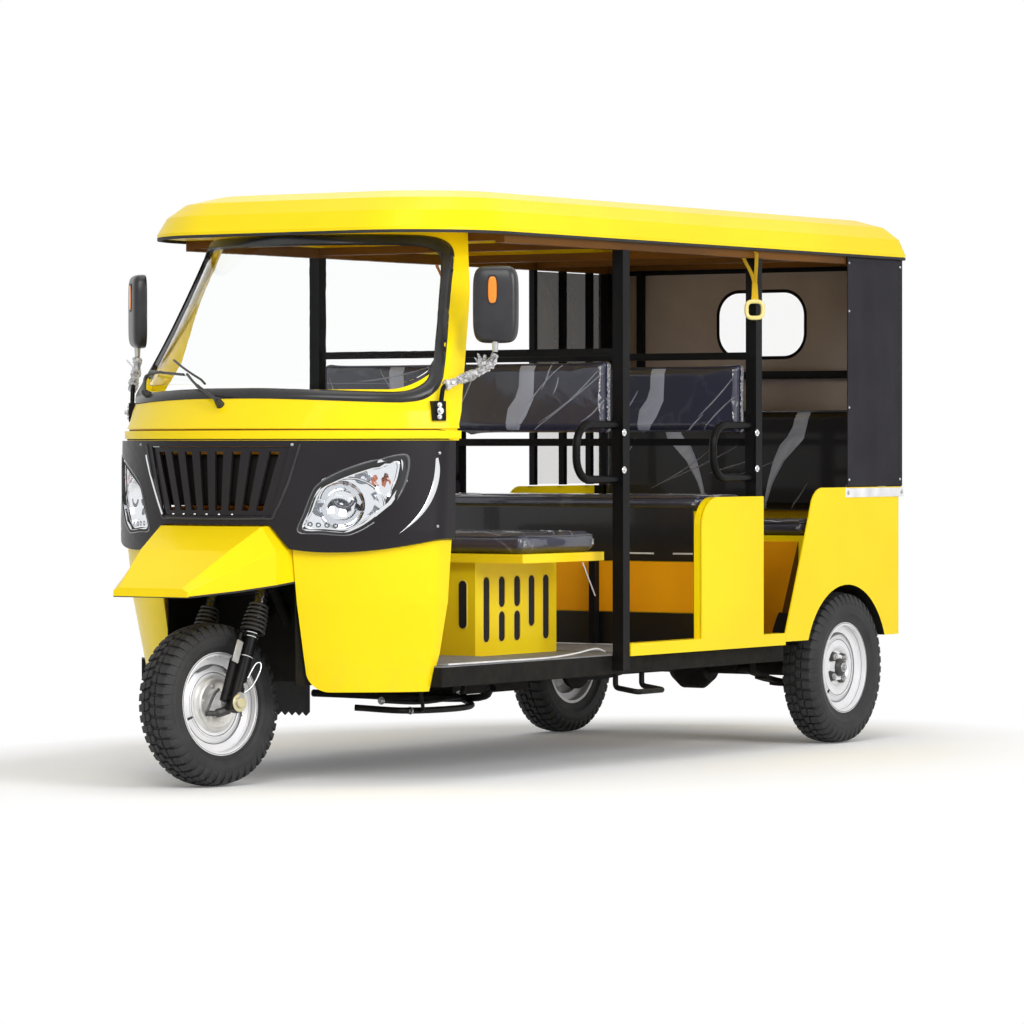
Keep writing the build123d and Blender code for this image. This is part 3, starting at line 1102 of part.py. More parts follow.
rear_bench.part.label = "rear_bench"
export_step(rear_bench.part, "parts/rear_bench.step")

with BuildPart() as rear_cushion:
    add(pad(PAD_HALF, REAR_FRONT_Y, REAR_FRONT_Y + 400, REAR_SEAT_Z + FIT, REAR_SEAT_Z + 54, 22))
rear_cushion.part.label = "rear_cushion"
export_step(rear_cushion.part, "parts/rear_cushion.step")

with BuildPart() as rear_backrest:
    add(pad(PAD_HALF, REAR_POST_Y - 86, REAR_POST_Y - 12, REAR_SEAT_Z + 56, 1178, 22))
rear_backrest.part.label = "rear_backrest"
export_step(rear_backrest.part, "parts/rear_backrest.step")

# ---- hanging grab straps -----------------------------------------------------------------------------
STRAP_X = POST_X - RAIL_HALF - 2
STRAP_Y = POST_2_Y + 60
STRAP_RING_Z = 1478
with BuildPart() as grab_straps:
    for side in (-1, 1):
        x = side * STRAP_X
        block(x - 2, x + 2, STRAP_Y - 11, STRAP_Y + 11, STRAP_RING_Z + 22, ROOF_FRAME_Z - 3)
        with Locations(Location((x, STRAP_Y, STRAP_RING_Z), (0, 90, 0))):
            Torus(24, 7)
grab_straps.part.label = "grab_straps"
export_step(grab_straps.part, "parts/grab_straps.step")

# ---- rear axle with differential and propeller shaft, leaf springs -------------------------------------
AXLE_TUBE = 34
DIFF_RADIUS, DIFF_HALF = 88, 70
SHAFT_RADIUS = 22
LEAF = 8
LEAF_WIDTH = MAIN_RAIL_WIDTH - 2 * FIT
LEAF_DROP = 56                    # main leaf's middle below its eyes
STUB_END_X = REAR_TRACK / 2 + 34
DRUM_X = REAR_TRACK / 2 - RIM_HALF - 6
LEAF_TOP_Z = EYE_Z - LEAF_DROP + LEAF / 2
with BuildPart() as rear_axle:
    axle_centre = (0, REAR_AXLE_Y, REAR_TYRE_RADIUS)
    rod((-DRUM_X, REAR_AXLE_Y, REAR_TYRE_RADIUS), (DRUM_X, REAR_AXLE_Y, REAR_TYRE_RADIUS), AXLE_TUBE)
    with BuildSketch(Plane.XY.offset(REAR_TYRE_RADIUS)) as casing:
        with BuildLine():
                Polyline((-DIFF_HALF, REAR_AXLE_Y), (-DIFF_HALF, REAR_AXLE_Y + DIFF_RADIUS * 0.7),
                         (-DIFF_HALF * 0.5, REAR_AXLE_Y + DIFF_RADIUS),
                         (DIFF_HALF * 0.5, REAR_AXLE_Y + DIFF_RADIUS),
                         (DIFF_HALF, REAR_AXLE_Y + DIFF_RADIUS * 0.7), (DIFF_HALF, REAR_AXLE_Y),
                         close=True)
        make_face()
    revolve(casing.sketch, axis=Axis(axle_centre, (1, 0, 0)))
    for side in (-1, 1):
        rod((side * (DRUM_X - 14), REAR_AXLE_Y, REAR_TYRE_RADIUS), (side * DRUM_X, REAR_AXLE_Y, REAR_TYRE_RADIUS),
            104)
        rod((side * DRUM_X, REAR_AXLE_Y, REAR_TYRE_RADIUS), (side * STUB_END_X, REAR_AXLE_Y, REAR_TYRE_RADIUS),
            STUB_RADIUS)
        block(side * (MAIN_RAIL_X - LEAF_WIDTH / 2), side * (MAIN_RAIL_X + LEAF_WIDTH / 2), REAR_AXLE_Y - 36,
              REAR_AXLE_Y + 36, LEAF_TOP_Z + 1, REAR_TYRE_RADIUS)
    rod((0, ENGINE_REAR_Y + FIT, ENGINE_BOTTOM_Z + 32), (0, REAR_AXLE_Y - DIFF_RADIUS + 12, REAR_TYRE_RADIUS),
        SHAFT_RADIUS)
rear_axle.part.label = "rear_axle"
export_step(rear_axle.part, "parts/rear_axle.step")

with BuildPart() as leaf_springs:
    for side in (-1, 1):
        for i, reach in enumerate((SPRING_REACH, 0.72 * SPRING_REACH, 0.45 * SPRING_REACH)):
            rise = LEAF_DROP * (reach / SPRING_REACH) ** 2
            middle = EYE_Z - LEAF_DROP - i * LEAF
            with BuildSketch(Plane.YZ.offset(side * MAIN_RAIL_X - LEAF_WIDTH / 2)) as leaf:
                with BuildLine():
                    for z in (middle + LEAF / 2, middle - LEAF / 2):
                        ThreePointArc((REAR_AXLE_Y - reach, z + rise), (REAR_AXLE_Y, z),
                                      (REAR_AXLE_Y + reach, z + rise))
                    for end in (-1, 1):
                        Line((REAR_AXLE_Y + end * reach, middle + rise + LEAF / 2),
                             (REAR_AXLE_Y + end * reach, middle + rise - LEAF / 2))
                make_face()
            extrude(leaf.sketch, amount=LEAF_WIDTH)
        for end in (-1, 1):
            eye_y = REAR_AXLE_Y + end * SPRING_REACH
            rod((side * MAIN_RAIL_X - LEAF_WIDTH / 2, eye_y, EYE_Z),
                (side * MAIN_RAIL_X + LEAF_WIDTH / 2, eye_y, EYE_Z), EYE_RADIUS)
            rod((side * MAIN_RAIL_X - LEAF_WIDTH / 2, eye_y, EYE_Z),
                (side * MAIN_RAIL_X + LEAF_WIDTH / 2, eye_y, EYE_Z), PIN_RADIUS + FIT, mode=Mode.SUBTRACT)
leaf_springs.part.label = "leaf_springs"
export_step(leaf_springs.part, "parts/leaf_springs.step")

# ---- step bars, exhaust, mirrors, wiper ------------------------------------------------------------------
STEP_RADIUS = 9
STEP_OUT_X, STEP_Z = 636, 240
with BuildPart() as step_bars:
    for side in (-1, 1):
        near, far = POST_1_Y + 40, POST_1_Y + 200
        bent_tube([(side * SILL_X, near, RAIL_BOTTOM_Z), (side * SILL_X, near, STEP_Z + 12),
                   (side * STEP_OUT_X, near, STEP_Z), (side * STEP_OUT_X, far, STEP_Z),
                   (side * SILL_X, far, STEP_Z + 12), (side * SILL_X, far, RAIL_BOTTOM_Z)],
                  STEP_RADIUS, 14)
step_bars.part.label = "step_bars"
export_step(step_bars.part, "parts/step_bars.step")

MIRROR_X, MIRROR_Y, MIRROR_LOW_Z, MIRROR_HIGH_Z = BODY_HALF + 65, FRONT_AXLE_Y + 535, 1346, 1584
MIRROR_WIDTH, MIRROR_DEPTH = 142, 46
MIRROR_TURN = {1: 22, -1: -42}    # each head's turn about its stalk, inner end forward
ARM_RADIUS = 7
BRACKET_X, BRACKET_Y, BRACKET_Z = BODY_HALF - 42, FRONT_AXLE_Y + 380, 1140
with BuildPart() as mirror_arms:
    for side in (-1, 1):
        with Locations(Location((side * BRACKET_X, BRACKET_Y, BRACKET_Z), (0, 0, side * 60))):
            Box(44, 28, 60)
        bent_tube([(side * (BRACKET_X + 8), BRACKET_Y, BRACKET_Z), (side * (BRACKET_X + 13), BRACKET_Y + 10, BRACKET_Z + 72),
                   (side * (MIRROR_X - 22), MIRROR_Y - 38, MIRROR_LOW_Z - 84),
                   (side * MIRROR_X, MIRROR_Y, MIRROR_LOW_Z - 46),
                   (side * MIRROR_X, MIRROR_Y, MIRROR_LOW_Z + 8)], ARM_RADIUS, 16)
    add(lofted_nose(COWL, -FIT, behind=20), mode=Mode.SUBTRACT)
mirror_arms.part.label = "mirror_arms"
export_step(mirror_arms.part, "parts/mirror_arms.step")

with BuildPart() as mirror_heads:
    for side, turned_in in MIRROR_TURN.items():
        middle = (side * MIRROR_X, MIRROR_Y, (MIRROR_LOW_Z + MIRROR_HIGH_Z) / 2)
        with Locations(Location(middle, (0, 0, turned_in))):
            with BuildPart(mode=Mode.PRIVATE) as head:
                Box(MIRROR_WIDTH, MIRROR_DEPTH, MIRROR_HIGH_Z - MIRROR_LOW_Z)
                fillet(head.edges().filter_by(Axis.Y), 22)
                fillet(head.faces().sort_by(Axis.Y)[0].edges(), 12)
            add(head.part)
    for side in (-1, 1):
        rod((side * MIRROR_X, MIRROR_Y, MIRROR_LOW_Z - 5), (side * MIRROR_X, MIRROR_Y, MIRROR_LOW_Z + 8.5),
            ARM_RADIUS + 1, mode=Mode.SUBTRACT)
mirror_heads.part.label = "mirror_heads"
export_step(mirror_heads.part, "parts/mirror_heads.step")
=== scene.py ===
# %% [markdown]
# # A three-wheeled passenger taxi
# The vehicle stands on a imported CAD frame: its hard pieces come from there at their real size.
# This lesson gives them paint, rubber, glass and cloth, and adds what a CAD model leaves out,
# such as tyre tread, seat covers, bolts, curtains and the insides of the lamps.
#
# The front of the vehicle points to -Y, its left side is +X and +Z is up. All sizes are metres.

# %% Load the frame and keep its box
import json
import math
import random

import bmesh
import bpy
import numpy as np
from mathutils import Matrix, Vector
from mathutils.bvhtree import BVHTree

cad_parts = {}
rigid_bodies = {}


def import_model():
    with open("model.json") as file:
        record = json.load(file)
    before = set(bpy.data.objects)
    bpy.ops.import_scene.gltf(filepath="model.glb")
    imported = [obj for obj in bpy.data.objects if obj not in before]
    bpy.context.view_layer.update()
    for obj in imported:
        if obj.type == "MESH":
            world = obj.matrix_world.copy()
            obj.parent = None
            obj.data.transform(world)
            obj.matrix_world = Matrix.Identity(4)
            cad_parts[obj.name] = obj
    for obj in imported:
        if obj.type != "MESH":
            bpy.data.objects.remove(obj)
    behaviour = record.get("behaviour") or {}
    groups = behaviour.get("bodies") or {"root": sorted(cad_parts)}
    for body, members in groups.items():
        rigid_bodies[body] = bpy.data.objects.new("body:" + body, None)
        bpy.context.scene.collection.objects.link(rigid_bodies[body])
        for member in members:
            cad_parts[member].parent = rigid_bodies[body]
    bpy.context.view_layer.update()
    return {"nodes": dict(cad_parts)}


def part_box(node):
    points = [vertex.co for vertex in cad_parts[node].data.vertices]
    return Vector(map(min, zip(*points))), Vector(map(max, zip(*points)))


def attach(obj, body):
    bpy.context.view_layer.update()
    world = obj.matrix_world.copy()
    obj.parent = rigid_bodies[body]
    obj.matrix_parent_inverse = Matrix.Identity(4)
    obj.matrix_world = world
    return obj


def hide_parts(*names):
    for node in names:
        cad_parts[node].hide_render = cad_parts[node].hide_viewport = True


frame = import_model()
nodes = frame["nodes"]
scene = bpy.context.scene
SIDES = ((1, "left"), (-1, "right"))

# %% [markdown]
# ## Camera
# A long lens from a good distance keeps the vehicle's sides nearly parallel. The camera stands
# a little above the floor, on the vehicle's left front quarter.

# %% Camera
CAMERA_PLACE = Vector((8.69035, -12.99359, 1.04475))
CAMERA_AZIMUTH = math.radians(33.438)
CAMERA_ELEVATION = math.radians(0.846)
CAMERA_ROLL = math.radians(-0.058)
SENSOR = 36.0
PICTURE_WIDTH = 1024
FOCAL_PIXELS = 4732.667


def aim_camera():
    back = Vector((math.sin(CAMERA_AZIMUTH) * math.cos(CAMERA_ELEVATION),
                   -math.cos(CAMERA_AZIMUTH) * math.cos(CAMERA_ELEVATION),
                   math.sin(CAMERA_ELEVATION)))
    right = Vector((0, 0, 1)).cross(back).normalized()
    up = back.cross(right)
    turn = Matrix((right, up, back)).transposed() @ Matrix.Rotation(CAMERA_ROLL, 3, "Z")
    lens = bpy.data.cameras.new("camera")
    lens.sensor_width = SENSOR
    lens.lens = FOCAL_PIXELS / PICTURE_WIDTH * SENSOR
    lens.clip_end = 200
    camera = bpy.data.objects.new("camera", lens)
    scene.collection.objects.link(camera)
    camera.matrix_world = Matrix.Translation(CAMERA_PLACE) @ turn.to_4x4()
    scene.camera = camera
    print("lens", round(lens.lens, 1), "mm")


aim_camera()

# %% [markdown]
# ## Light and floor
# Broad soft lamps and a pale world light the vehicle from all round, so the paint keeps its
# written colour. The floor is a pale sheet that glows a little where it is looked at, which
# makes it as white as the world behind it and still lets the soft shadow lie on it.

# %% World and lamps
scene.view_settings.view_transform = "Standard"
WORLD_FILL = 0.36  # light that the world gives the vehicle
FLOOR_COLOUR = 0.95
FLOOR_GLOW = 0.08
FLOOR_FADE = (2.0, 2.7)  # from the vehicle's middle, where the floor turns white
FLOOR_SHAPE = (1.5, 1, 1)  # the fade is longer than it is wide


def shader_nodes(material_or_world):
    material_or_world.use_nodes = True
    tree = material_or_world.node_tree
    tree.nodes.clear()
    return tree


def feed(tree, socket, value):
    """Give an input a plain number, or a link where the value is another node's output."""
    if isinstance(value, bpy.types.NodeSocket):
        tree.links.new(value, socket)
    else:
        socket.default_value = value


def new_node(tree, kind, **inputs):
    """A new shader node with its named inputs fed; _ stands for a space in their names."""
    made = tree.nodes.new("ShaderNode" + kind)
    for name, value in inputs.items():
        feed(tree, made.inputs[name.replace("_", " ")], value)
    return made


def reckon(tree, operation, first, second, clamp=False):
    """A sum, product or the like of a socket with another socket or a number."""
    made = new_node(tree, "Math")
    made.operation = operation
    made.use_clamp = clamp
    feed(tree, made.inputs[0], first)
    feed(tree, made.inputs[1], second)
    return made.outputs[0]


def looked_at(tree):
    """One where the eye looks, straight or by way of metal or glass, and nought elsewhere."""
    path = new_node(tree, "LightPath")
    total = path.outputs["Is Camera Ray"]
    for ray in ("Is Glossy Ray", "Is Transmission Ray"):
        total = reckon(tree, "ADD", total, path.outputs[ray], clamp=True)
    return total


def mixed(tree, amount, first, second):
    mix = new_node(tree, "MixShader", Fac=amount)
    feed(tree, mix.inputs[1], first.outputs[0])
    feed(tree, mix.inputs[2], second.outputs[0])
    return mix.outputs[0]


def pale_world():
    world = bpy.data.worlds.new("pale_world")
    scene.world = world
    tree = shader_nodes(world)
    sheets = [new_node(tree, "Background", Color=(1, 1, 1, 1), Strength=strength)
              for strength in (WORLD_FILL, 1.0)]
    new_node(tree, "OutputWorld", Surface=mixed(tree, looked_at(tree), *sheets))


def soft_lamp(name, place, target, size, power):
    lamp = bpy.data.lights.new(name, "AREA")
    lamp.shape = "RECTANGLE"
    lamp.size, lamp.size_y = size
    lamp.energy = power
    lamp_object = bpy.data.objects.new(name, lamp)
    scene.collection.objects.link(lamp_object)
    look = Vector(target) - Vector(place)
    lamp_object.location = place
    lamp_object.rotation_euler = look.to_track_quat("-Z", "Y").to_euler()


print("world and lamp helpers ready")

# %% Floor, and the lamps put up
def pale_floor():
    """Near the vehicle the floor takes its shadow; further out it is as white as the world."""
    bm = bmesh.new()
    bmesh.ops.create_grid(bm, x_segments=1, y_segments=1, size=60)
    mesh = bpy.data.meshes.new("floor")
    bm.to_mesh(mesh)
    bm.free()
    floor = bpy.data.objects.new("floor", mesh)
    scene.collection.objects.link(floor)
    material = bpy.data.materials.new("pale_floor")
    tree = shader_nodes(material)
    seen = looked_at(tree)
    glow = new_node(tree, "Emission", Strength=reckon(tree, "MULTIPLY", seen, FLOOR_GLOW))
    near = new_node(tree, "AddShader")
    feed(tree, near.inputs[0],
         new_node(tree, "BsdfDiffuse", Color=(*[FLOOR_COLOUR] * 3, 1)).outputs[0])
    feed(tree, near.inputs[1], glow.outputs[0])
    where = new_node(tree, "NewGeometry").outputs["Position"]
    reach = new_node(tree, "VectorMath")
    reach.operation = "LENGTH"
    feed(tree, reach.inputs[0],
         new_node(tree, "Mapping", Vector=where, Scale=FLOOR_SHAPE).outputs[0])
    ramp = new_node(tree, "MapRange", Value=reach.outputs["Value"], From_Min=FLOOR_FADE[0],
                From_Max=FLOOR_FADE[1])
    far = reckon(tree, "MULTIPLY", ramp.outputs["Result"], seen)
    new_node(tree, "OutputMaterial", Surface=mixed(tree, far, near, new_node(tree, "Emission")))
    mesh.materials.append(material)


pale_world()
soft_lamp("key_lamp", (3.4, -8.2, 6.0), (0, -0.3, 0.8), (5, 5), 350)
soft_lamp("side_lamp", (8.8, -2.2, 4.0), (0, 0.3, 0.8), (5, 4), 430)
soft_lamp("back_lamp", (-4.0, 5.5, 7.5), (0, 0.5, 1.0), (5, 5), 80)
soft_lamp("top_lamp", (0.5, -0.5, 9.5), (0, 0, 0), (6, 6), 190)
pale_floor()

# %% [markdown]
# ## Paints and plastics
# One helper starts every finish: a principled shader with its plain numbers set on its own
# sockets. Small helpers then add noise in the object's own space, so no unwrapping is needed
# and the grain keeps its real size on every piece.

# %% Shader helpers
def finish(name, colour, roughness, metallic=0.0, coat=0.0, coat_roughness=0.05, sheen=0.0,
           transmission=0.0, ior=1.45, alpha=1.0, gloss=0.5):
    material = bpy.data.materials.new(name)
    tree = shader_nodes(material)
    shader = new_node(tree, "BsdfPrincipled", Base_Color=(*colour, 1), Roughness=roughness,
                  Metallic=metallic, Coat_Weight=coat, Coat_Roughness=coat_roughness,
                  Sheen_Weight=sheen, Transmission_Weight=transmission, IOR=ior,
                  Specular_IOR_Level=gloss, Alpha=alpha)
    shader.name = "finish"
    new_node(tree, "OutputMaterial", Surface=shader.outputs[0])
    return material


def place_in_space(tree, stretch=(1, 1, 1)):
    """The object's own space, in metres, stretched along its axes."""
    where = new_node(tree, "TexCoord").outputs["Object"]
    return new_node(tree, "Mapping", Scale=stretch, Vector=where).outputs["Vector"]


def cloud(tree, scale, detail=3.0, distortion=0.0):
    return new_node(tree, "TexNoise", Scale=scale, Detail=detail, Distortion=distortion,
                Vector=place_in_space(tree)).outputs["Fac"]


def spread(tree, value, low, high, to_low=0.0, to_high=1.0):
    return new_node(tree, "MapRange", Value=value, From_Min=low, From_Max=high, To_Min=to_low,
                To_Max=to_high).outputs["Result"]


def blend_colours(tree, amount, first, second):
    mix = new_node(tree, "Mix")
    mix.data_type = "RGBA"
    feed(tree, mix.inputs[0], amount)
    for socket, colour in ((mix.inputs[6], first), (mix.inputs[7], second)):
        feed(tree, socket, (*colour, 1) if isinstance(colour, tuple) else colour)
    return mix.outputs[2]


def set_from(material, socket, result):
    """Let a node's result set one of the finish's own numbers."""
    tree = material.node_tree
    feed(tree, tree.nodes["finish"].inputs[socket], result)


def raise_surface(material, height, strength, distance, socket="Normal"):
    bump = new_node(material.node_tree, "Bump", Height=height, Strength=strength, Distance=distance)
    set_from(material, socket, bump.outputs[0])


print("shader helpers ready")

# %% [markdown]
# The body paint is a warm yellow under clear lacquer. A broad, faint change of tone and a
# very fine ripple keep it from looking like plastic, and road dust dulls it low down.

# %% Yellow paint, black mask, black tube enamel, silver wheels
YELLOW = (1.0, 0.755, 0.005)
DEEP_YELLOW = (0.97, 0.69, 0.004)
DUST = (0.42, 0.34, 0.2)


def height_in_space(tree):
    return new_node(tree, "SeparateXYZ", Vector=place_in_space(tree)).outputs["Z"]


def dusty_paint(name, colour, deep, roughness, coat, dust_top, dust_most, gloss=0.3,
                metallic=0.0):
    material = finish(name, colour, roughness, metallic, coat=coat, coat_roughness=0.04,
                      gloss=gloss)
    tree = material.node_tree
    tone = blend_colours(tree, spread(tree, cloud(tree, 1.6, 2), 0.35, 0.7), colour, deep)
    low = spread(tree, height_in_space(tree), dust_top, 0.2, 0.0, dust_most)
    speckle = reckon(tree, "MULTIPLY", low, spread(tree, cloud(tree, 22, 6), 0.35, 0.75))
    set_from(material, "Base Color", blend_colours(tree, speckle, tone, DUST))
    set_from(material, "Roughness",
             spread(tree, cloud(tree, 60, 4), 0.2, 0.8, roughness - 0.05, roughness + 0.08))
    raise_surface(material, cloud(tree, 240, 2), 0.04, 0.001)
    return material


yellow_paint = dusty_paint("yellow_paint", YELLOW, DEEP_YELLOW, 0.34, 0.14, 0.45, 0.12, 0.14)
# painted light: a brighter copy of the yellow that stands in for sunlight on the shaded engine box
painted_light_box_yellow = dusty_paint("painted_light_box_yellow", (1.0, 0.8, 0.012), (1.0, 0.66, 0.01), 0.36, 0.1, 0.45, 0.04,
                         0.2)
# painted shade: a dark brown that stands in for the yellow roof's inside, and a bench fold, in
# shade
painted_shade_brown = dusty_paint("painted_shade_brown", (0.17, 0.065, 0.006), (0.1, 0.04, 0.006), 0.5, 0.05,
                           0.6, 0.0, 0.15)
# painted shade: a darker orange-yellow that stands in for the yellow paint in shade inside the nose
painted_shade_inner_yellow = dusty_paint("painted_shade_yellow", (0.95, 0.46, 0.01), (0.86, 0.36, 0.008), 0.45, 0.1,
                           0.6, 0.35)
mask_black = dusty_paint("mask_black", (0.012, 0.01, 0.012), (0.017, 0.015, 0.017), 0.36, 0.05,
                         0.5, 0.1, 0.2)
tube_black = dusty_paint("tube_black", (0.003, 0.003, 0.0035), (0.005, 0.005, 0.006), 0.42, 0.04,
                         0.5, 0.03, 0.12)
frame_black = dusty_paint("frame_black", (0.006, 0.006, 0.006), (0.01, 0.009, 0.008), 0.6, 0.0,
                          0.6, 0.03, 0.12)
wheel_silver = dusty_paint("wheel_silver", (0.88, 0.88, 0.9), (0.8, 0.8, 0.82), 0.34, 0.25, 0.3,
                           0.08, metallic=0.15)
print("paints ready")

# %% [markdown]
# Rubber is matt with a fine grain, cloth has a weave of crossed threads, and the seats are
# dark blue vinyl. The seats still wear the clear wrapping film they left the factory in, so
# their clear coat has its own crumpled surface, and the vinyl's colour is lightened along the
# film's creases as a painted highlight.

# %% Rubber, chrome, glass, film, vinyl, cloth
def grained(name, colour, roughness, scale, strength, distance, metallic=0.0):
    material = finish(name, colour, roughness, metallic)
    tree = material.node_tree
    brighter = tuple(min(1.0, c * 1.5 + 0.004) for c in colour)
    set_from(material, "Base Color",
             blend_colours(tree, spread(tree, cloud(tree, 14, 5), 0.35, 0.75), colour, brighter))
    raise_surface(material, cloud(tree, scale, 4), strength, distance)
    return material


WAVE_UNIT = 0.314  # a wave texture of this scale has one band to a metre


def woven(name, colour, light, pitch):
    """Threads of pitch metres, crossing, with a slightly mottled dye."""
    material = finish(name, colour, 0.85, sheen=0.03, gloss=0.12)
    tree = material.node_tree
    threads = []
    for direction in ("Y", "Z"):
        place = place_in_space(tree, (1, 1, 1) if direction == "Z" else (0, 1, 0))
        wave = new_node(tree, "TexWave", Scale=WAVE_UNIT / pitch, Distortion=0.6, Detail_Scale=2.0,
                    Vector=place)
        wave.bands_direction = direction
        threads.append(wave.outputs["Fac"])
    cross = reckon(tree, "MULTIPLY", *threads)
    dye = blend_colours(tree, spread(tree, cloud(tree, 5, 5), 0.3, 0.75), colour, light)
    set_from(material, "Base Color",
             blend_colours(tree, spread(tree, cross, 0, 1, 0.75, 1.0),
                           tuple(c * 0.55 for c in colour), dye))
    raise_surface(material, cross, 0.35, pitch * 0.4)
    return material


def crumpled(tree, scale):
    """Sharp creases between smooth flats, as a clear film crumples."""
    return reckon(tree, "PINGPONG", cloud(tree, scale, 3, 1.6), 0.09)


def cells(tree, scale):
    """How far a place is from the middle of its cell."""
    return new_node(tree, "TexVoronoi", Scale=scale,
                    Vector=place_in_space(tree)).outputs["Distance"]


def wrapped_vinyl(name, colour, light):
    material = finish(name, colour, 0.42, coat=1.0, coat_roughness=0.09)
    tree = material.node_tree
    raise_surface(material, cells(tree, 380), 0.25, 0.0006)
    film = crumpled(tree, 3.0)
    raise_surface(material, film, 0.12, 0.03, "Coat Normal")
    # painted highlight: the film's creases are lightened in the base colour, in patches
    film_crease_sheen = spread(tree, film, 0.06, 0.09, 0.0, 0.35)
    patches = spread(tree, cloud(tree, 3.2, 2), 0.48, 0.62)
    painted_highlight = reckon(tree, "MULTIPLY", film_crease_sheen, patches)
    set_from(material, "Base Color", blend_colours(tree, painted_highlight, colour, light))
    return material


rubber = grained("rubber", (0.016, 0.016, 0.017), 0.72, 180, 0.2, 0.001)
tyre_rubber = grained("tyre_rubber", (0.018, 0.018, 0.019), 0.66, 140, 0.25, 0.0012)
satin_plastic = grained("satin_plastic", (0.02, 0.02, 0.021), 0.4, 260, 0.15, 0.0006)
chrome = finish("chrome", (0.82, 0.83, 0.85), 0.08, metallic=1.0)
steel = grained("bright_steel", (0.42, 0.42, 0.43), 0.3, 90, 0.1, 0.0006, 1.0)
dark_steel = grained("dark_steel", (0.1, 0.1, 0.105), 0.25, 90, 0.1, 0.0006, 0.9)
clear_glass = finish("clear_glass", (0.97, 0.99, 0.98), 0.0, transmission=1.0, ior=1.1)
lamp_glass = finish("lamp_glass", (0.98, 0.99, 1.0), 0.02, transmission=1.0, ior=1.25)
amber_plastic = finish("amber_plastic", (0.95, 0.26, 0.01), 0.18, coat=0.6)
red_plastic = finish("red_plastic", (0.55, 0.012, 0.01), 0.18, coat=0.6)
clear_film = finish("clear_film", (0.95, 0.97, 0.98), 0.12, transmission=0.6, ior=1.1, alpha=0.22)
raise_surface(clear_film, crumpled(clear_film.node_tree, 9), 0.6, 0.02)
mirror_glass = finish("mirror_glass", (0.85, 0.87, 0.88), 0.02, metallic=1.0)
seat_vinyl = wrapped_vinyl("seat_vinyl", (0.016, 0.019, 0.044), (0.1, 0.11, 0.15))
rear_vinyl = finish("rear_vinyl", (0.006, 0.005, 0.007), 0.38, coat=0.2, gloss=0.3)
# painted light: a lighter copy of the seat vinyl, with brighter film streaks, for the lit cushions
painted_light_cushion_vinyl = wrapped_vinyl("painted_light_cushion_vinyl", (0.04, 0.042, 0.07), (0.34, 0.35, 0.42))
stripe_vinyl = wrapped_vinyl("stripe_vinyl", (0.32, 0.35, 0.45), (0.5, 0.53, 0.6))
curtain_cloth = woven("curtain_cloth", (0.028, 0.026, 0.032), (0.042, 0.04, 0.047), 0.0022)
rear_cloth = woven("rear_cloth", (0.36, 0.29, 0.265), (0.44, 0.365, 0.335), 0.0022)
yellow_webbing = woven("yellow_webbing", (0.85, 0.52, 0.02), (0.9, 0.62, 0.05), 0.0016)
orange_webbing = woven("orange_webbing", (0.62, 0.2, 0.05), (0.7, 0.26, 0.08), 0.0016)
floor_sheet = grained("floor_sheet", (0.16, 0.165, 0.17), 0.55, 60, 0.2, 0.001)
print(len(bpy.data.materials), "materials")

# %% [markdown]
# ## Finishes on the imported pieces
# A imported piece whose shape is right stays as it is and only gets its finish.

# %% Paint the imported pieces
PACKED_FINISH = (
    (yellow_paint, "cowl front_fairings front_mudguard roof_shell side_panels "
                   "quarter_panels rear_panel rear_bench middle_bench"),
    # the engine box takes the brighter yellow that paints sunlight on it
    (painted_light_box_yellow, "engine_box"),
    # the bulkhead's yellow is painted darker and more orange as painted shade
    (painted_shade_inner_yellow, "bulkhead"),
    (mask_black, "nose_mask grille"),
    (frame_black, "wheel_housing chassis_rails cross_members head_frame rear_axle "
                  "leaf_springs engine_block"),
    (rubber, "windscreen_gasket drip_edge mud_flap"),
    (satin_plastic, "mirror_heads"),
    (tube_black, "mirror_arms step_bars front_fork handlebar body_posts grab_handles "
                 "rear_frame backrest_rails"),
    (lamp_glass, "headlamp_lenses"),
    (chrome, "headlamp_bodies"),
    (red_plastic, "tail_lamps"),
    (clear_glass, "windscreen"),
    (clear_film, "rear_window side_film"),
    # the roof rails and bows are yellow, painted brown as painted shade
    (painted_shade_brown, "roof_rails roof_bows"),
    (dark_steel, "fork_springs"),
    (steel, "front_axle"),
    (wheel_silver, "front_wheel rear_wheel_left rear_wheel_right"),
    (tyre_rubber, "front_tyre rear_tyre_left rear_tyre_right"),
    (floor_sheet, "floor_pan"),
    (seat_vinyl, "driver_cushion driver_backrest middle_cushion middle_backrest "
                 "rear_cushion rear_backrest"),
    (rear_cloth, "rear_curtain"),
    (curtain_cloth, "side_curtain"),
    (yellow_webbing, "grab_straps"),
)
SMOOTH_ANGLE = math.radians(28)


def dress(node_name, material):
    node = nodes[node_name]
    node.data.materials.clear()
    node.data.materials.append(material)


bare = set(nodes)
for material, names in PACKED_FINISH:
    for node_name in names.split():
        dress(node_name, material)
        bare.remove(node_name)
print("no finish yet:", sorted(bare))

# %% [markdown]
# ## Helpers for making pieces
# Meshes are built with bmesh in the place where they belong. `settle` links one, gives it a
# finish, smooths it and lets it ride on its body, so every piece moves with what carries it.

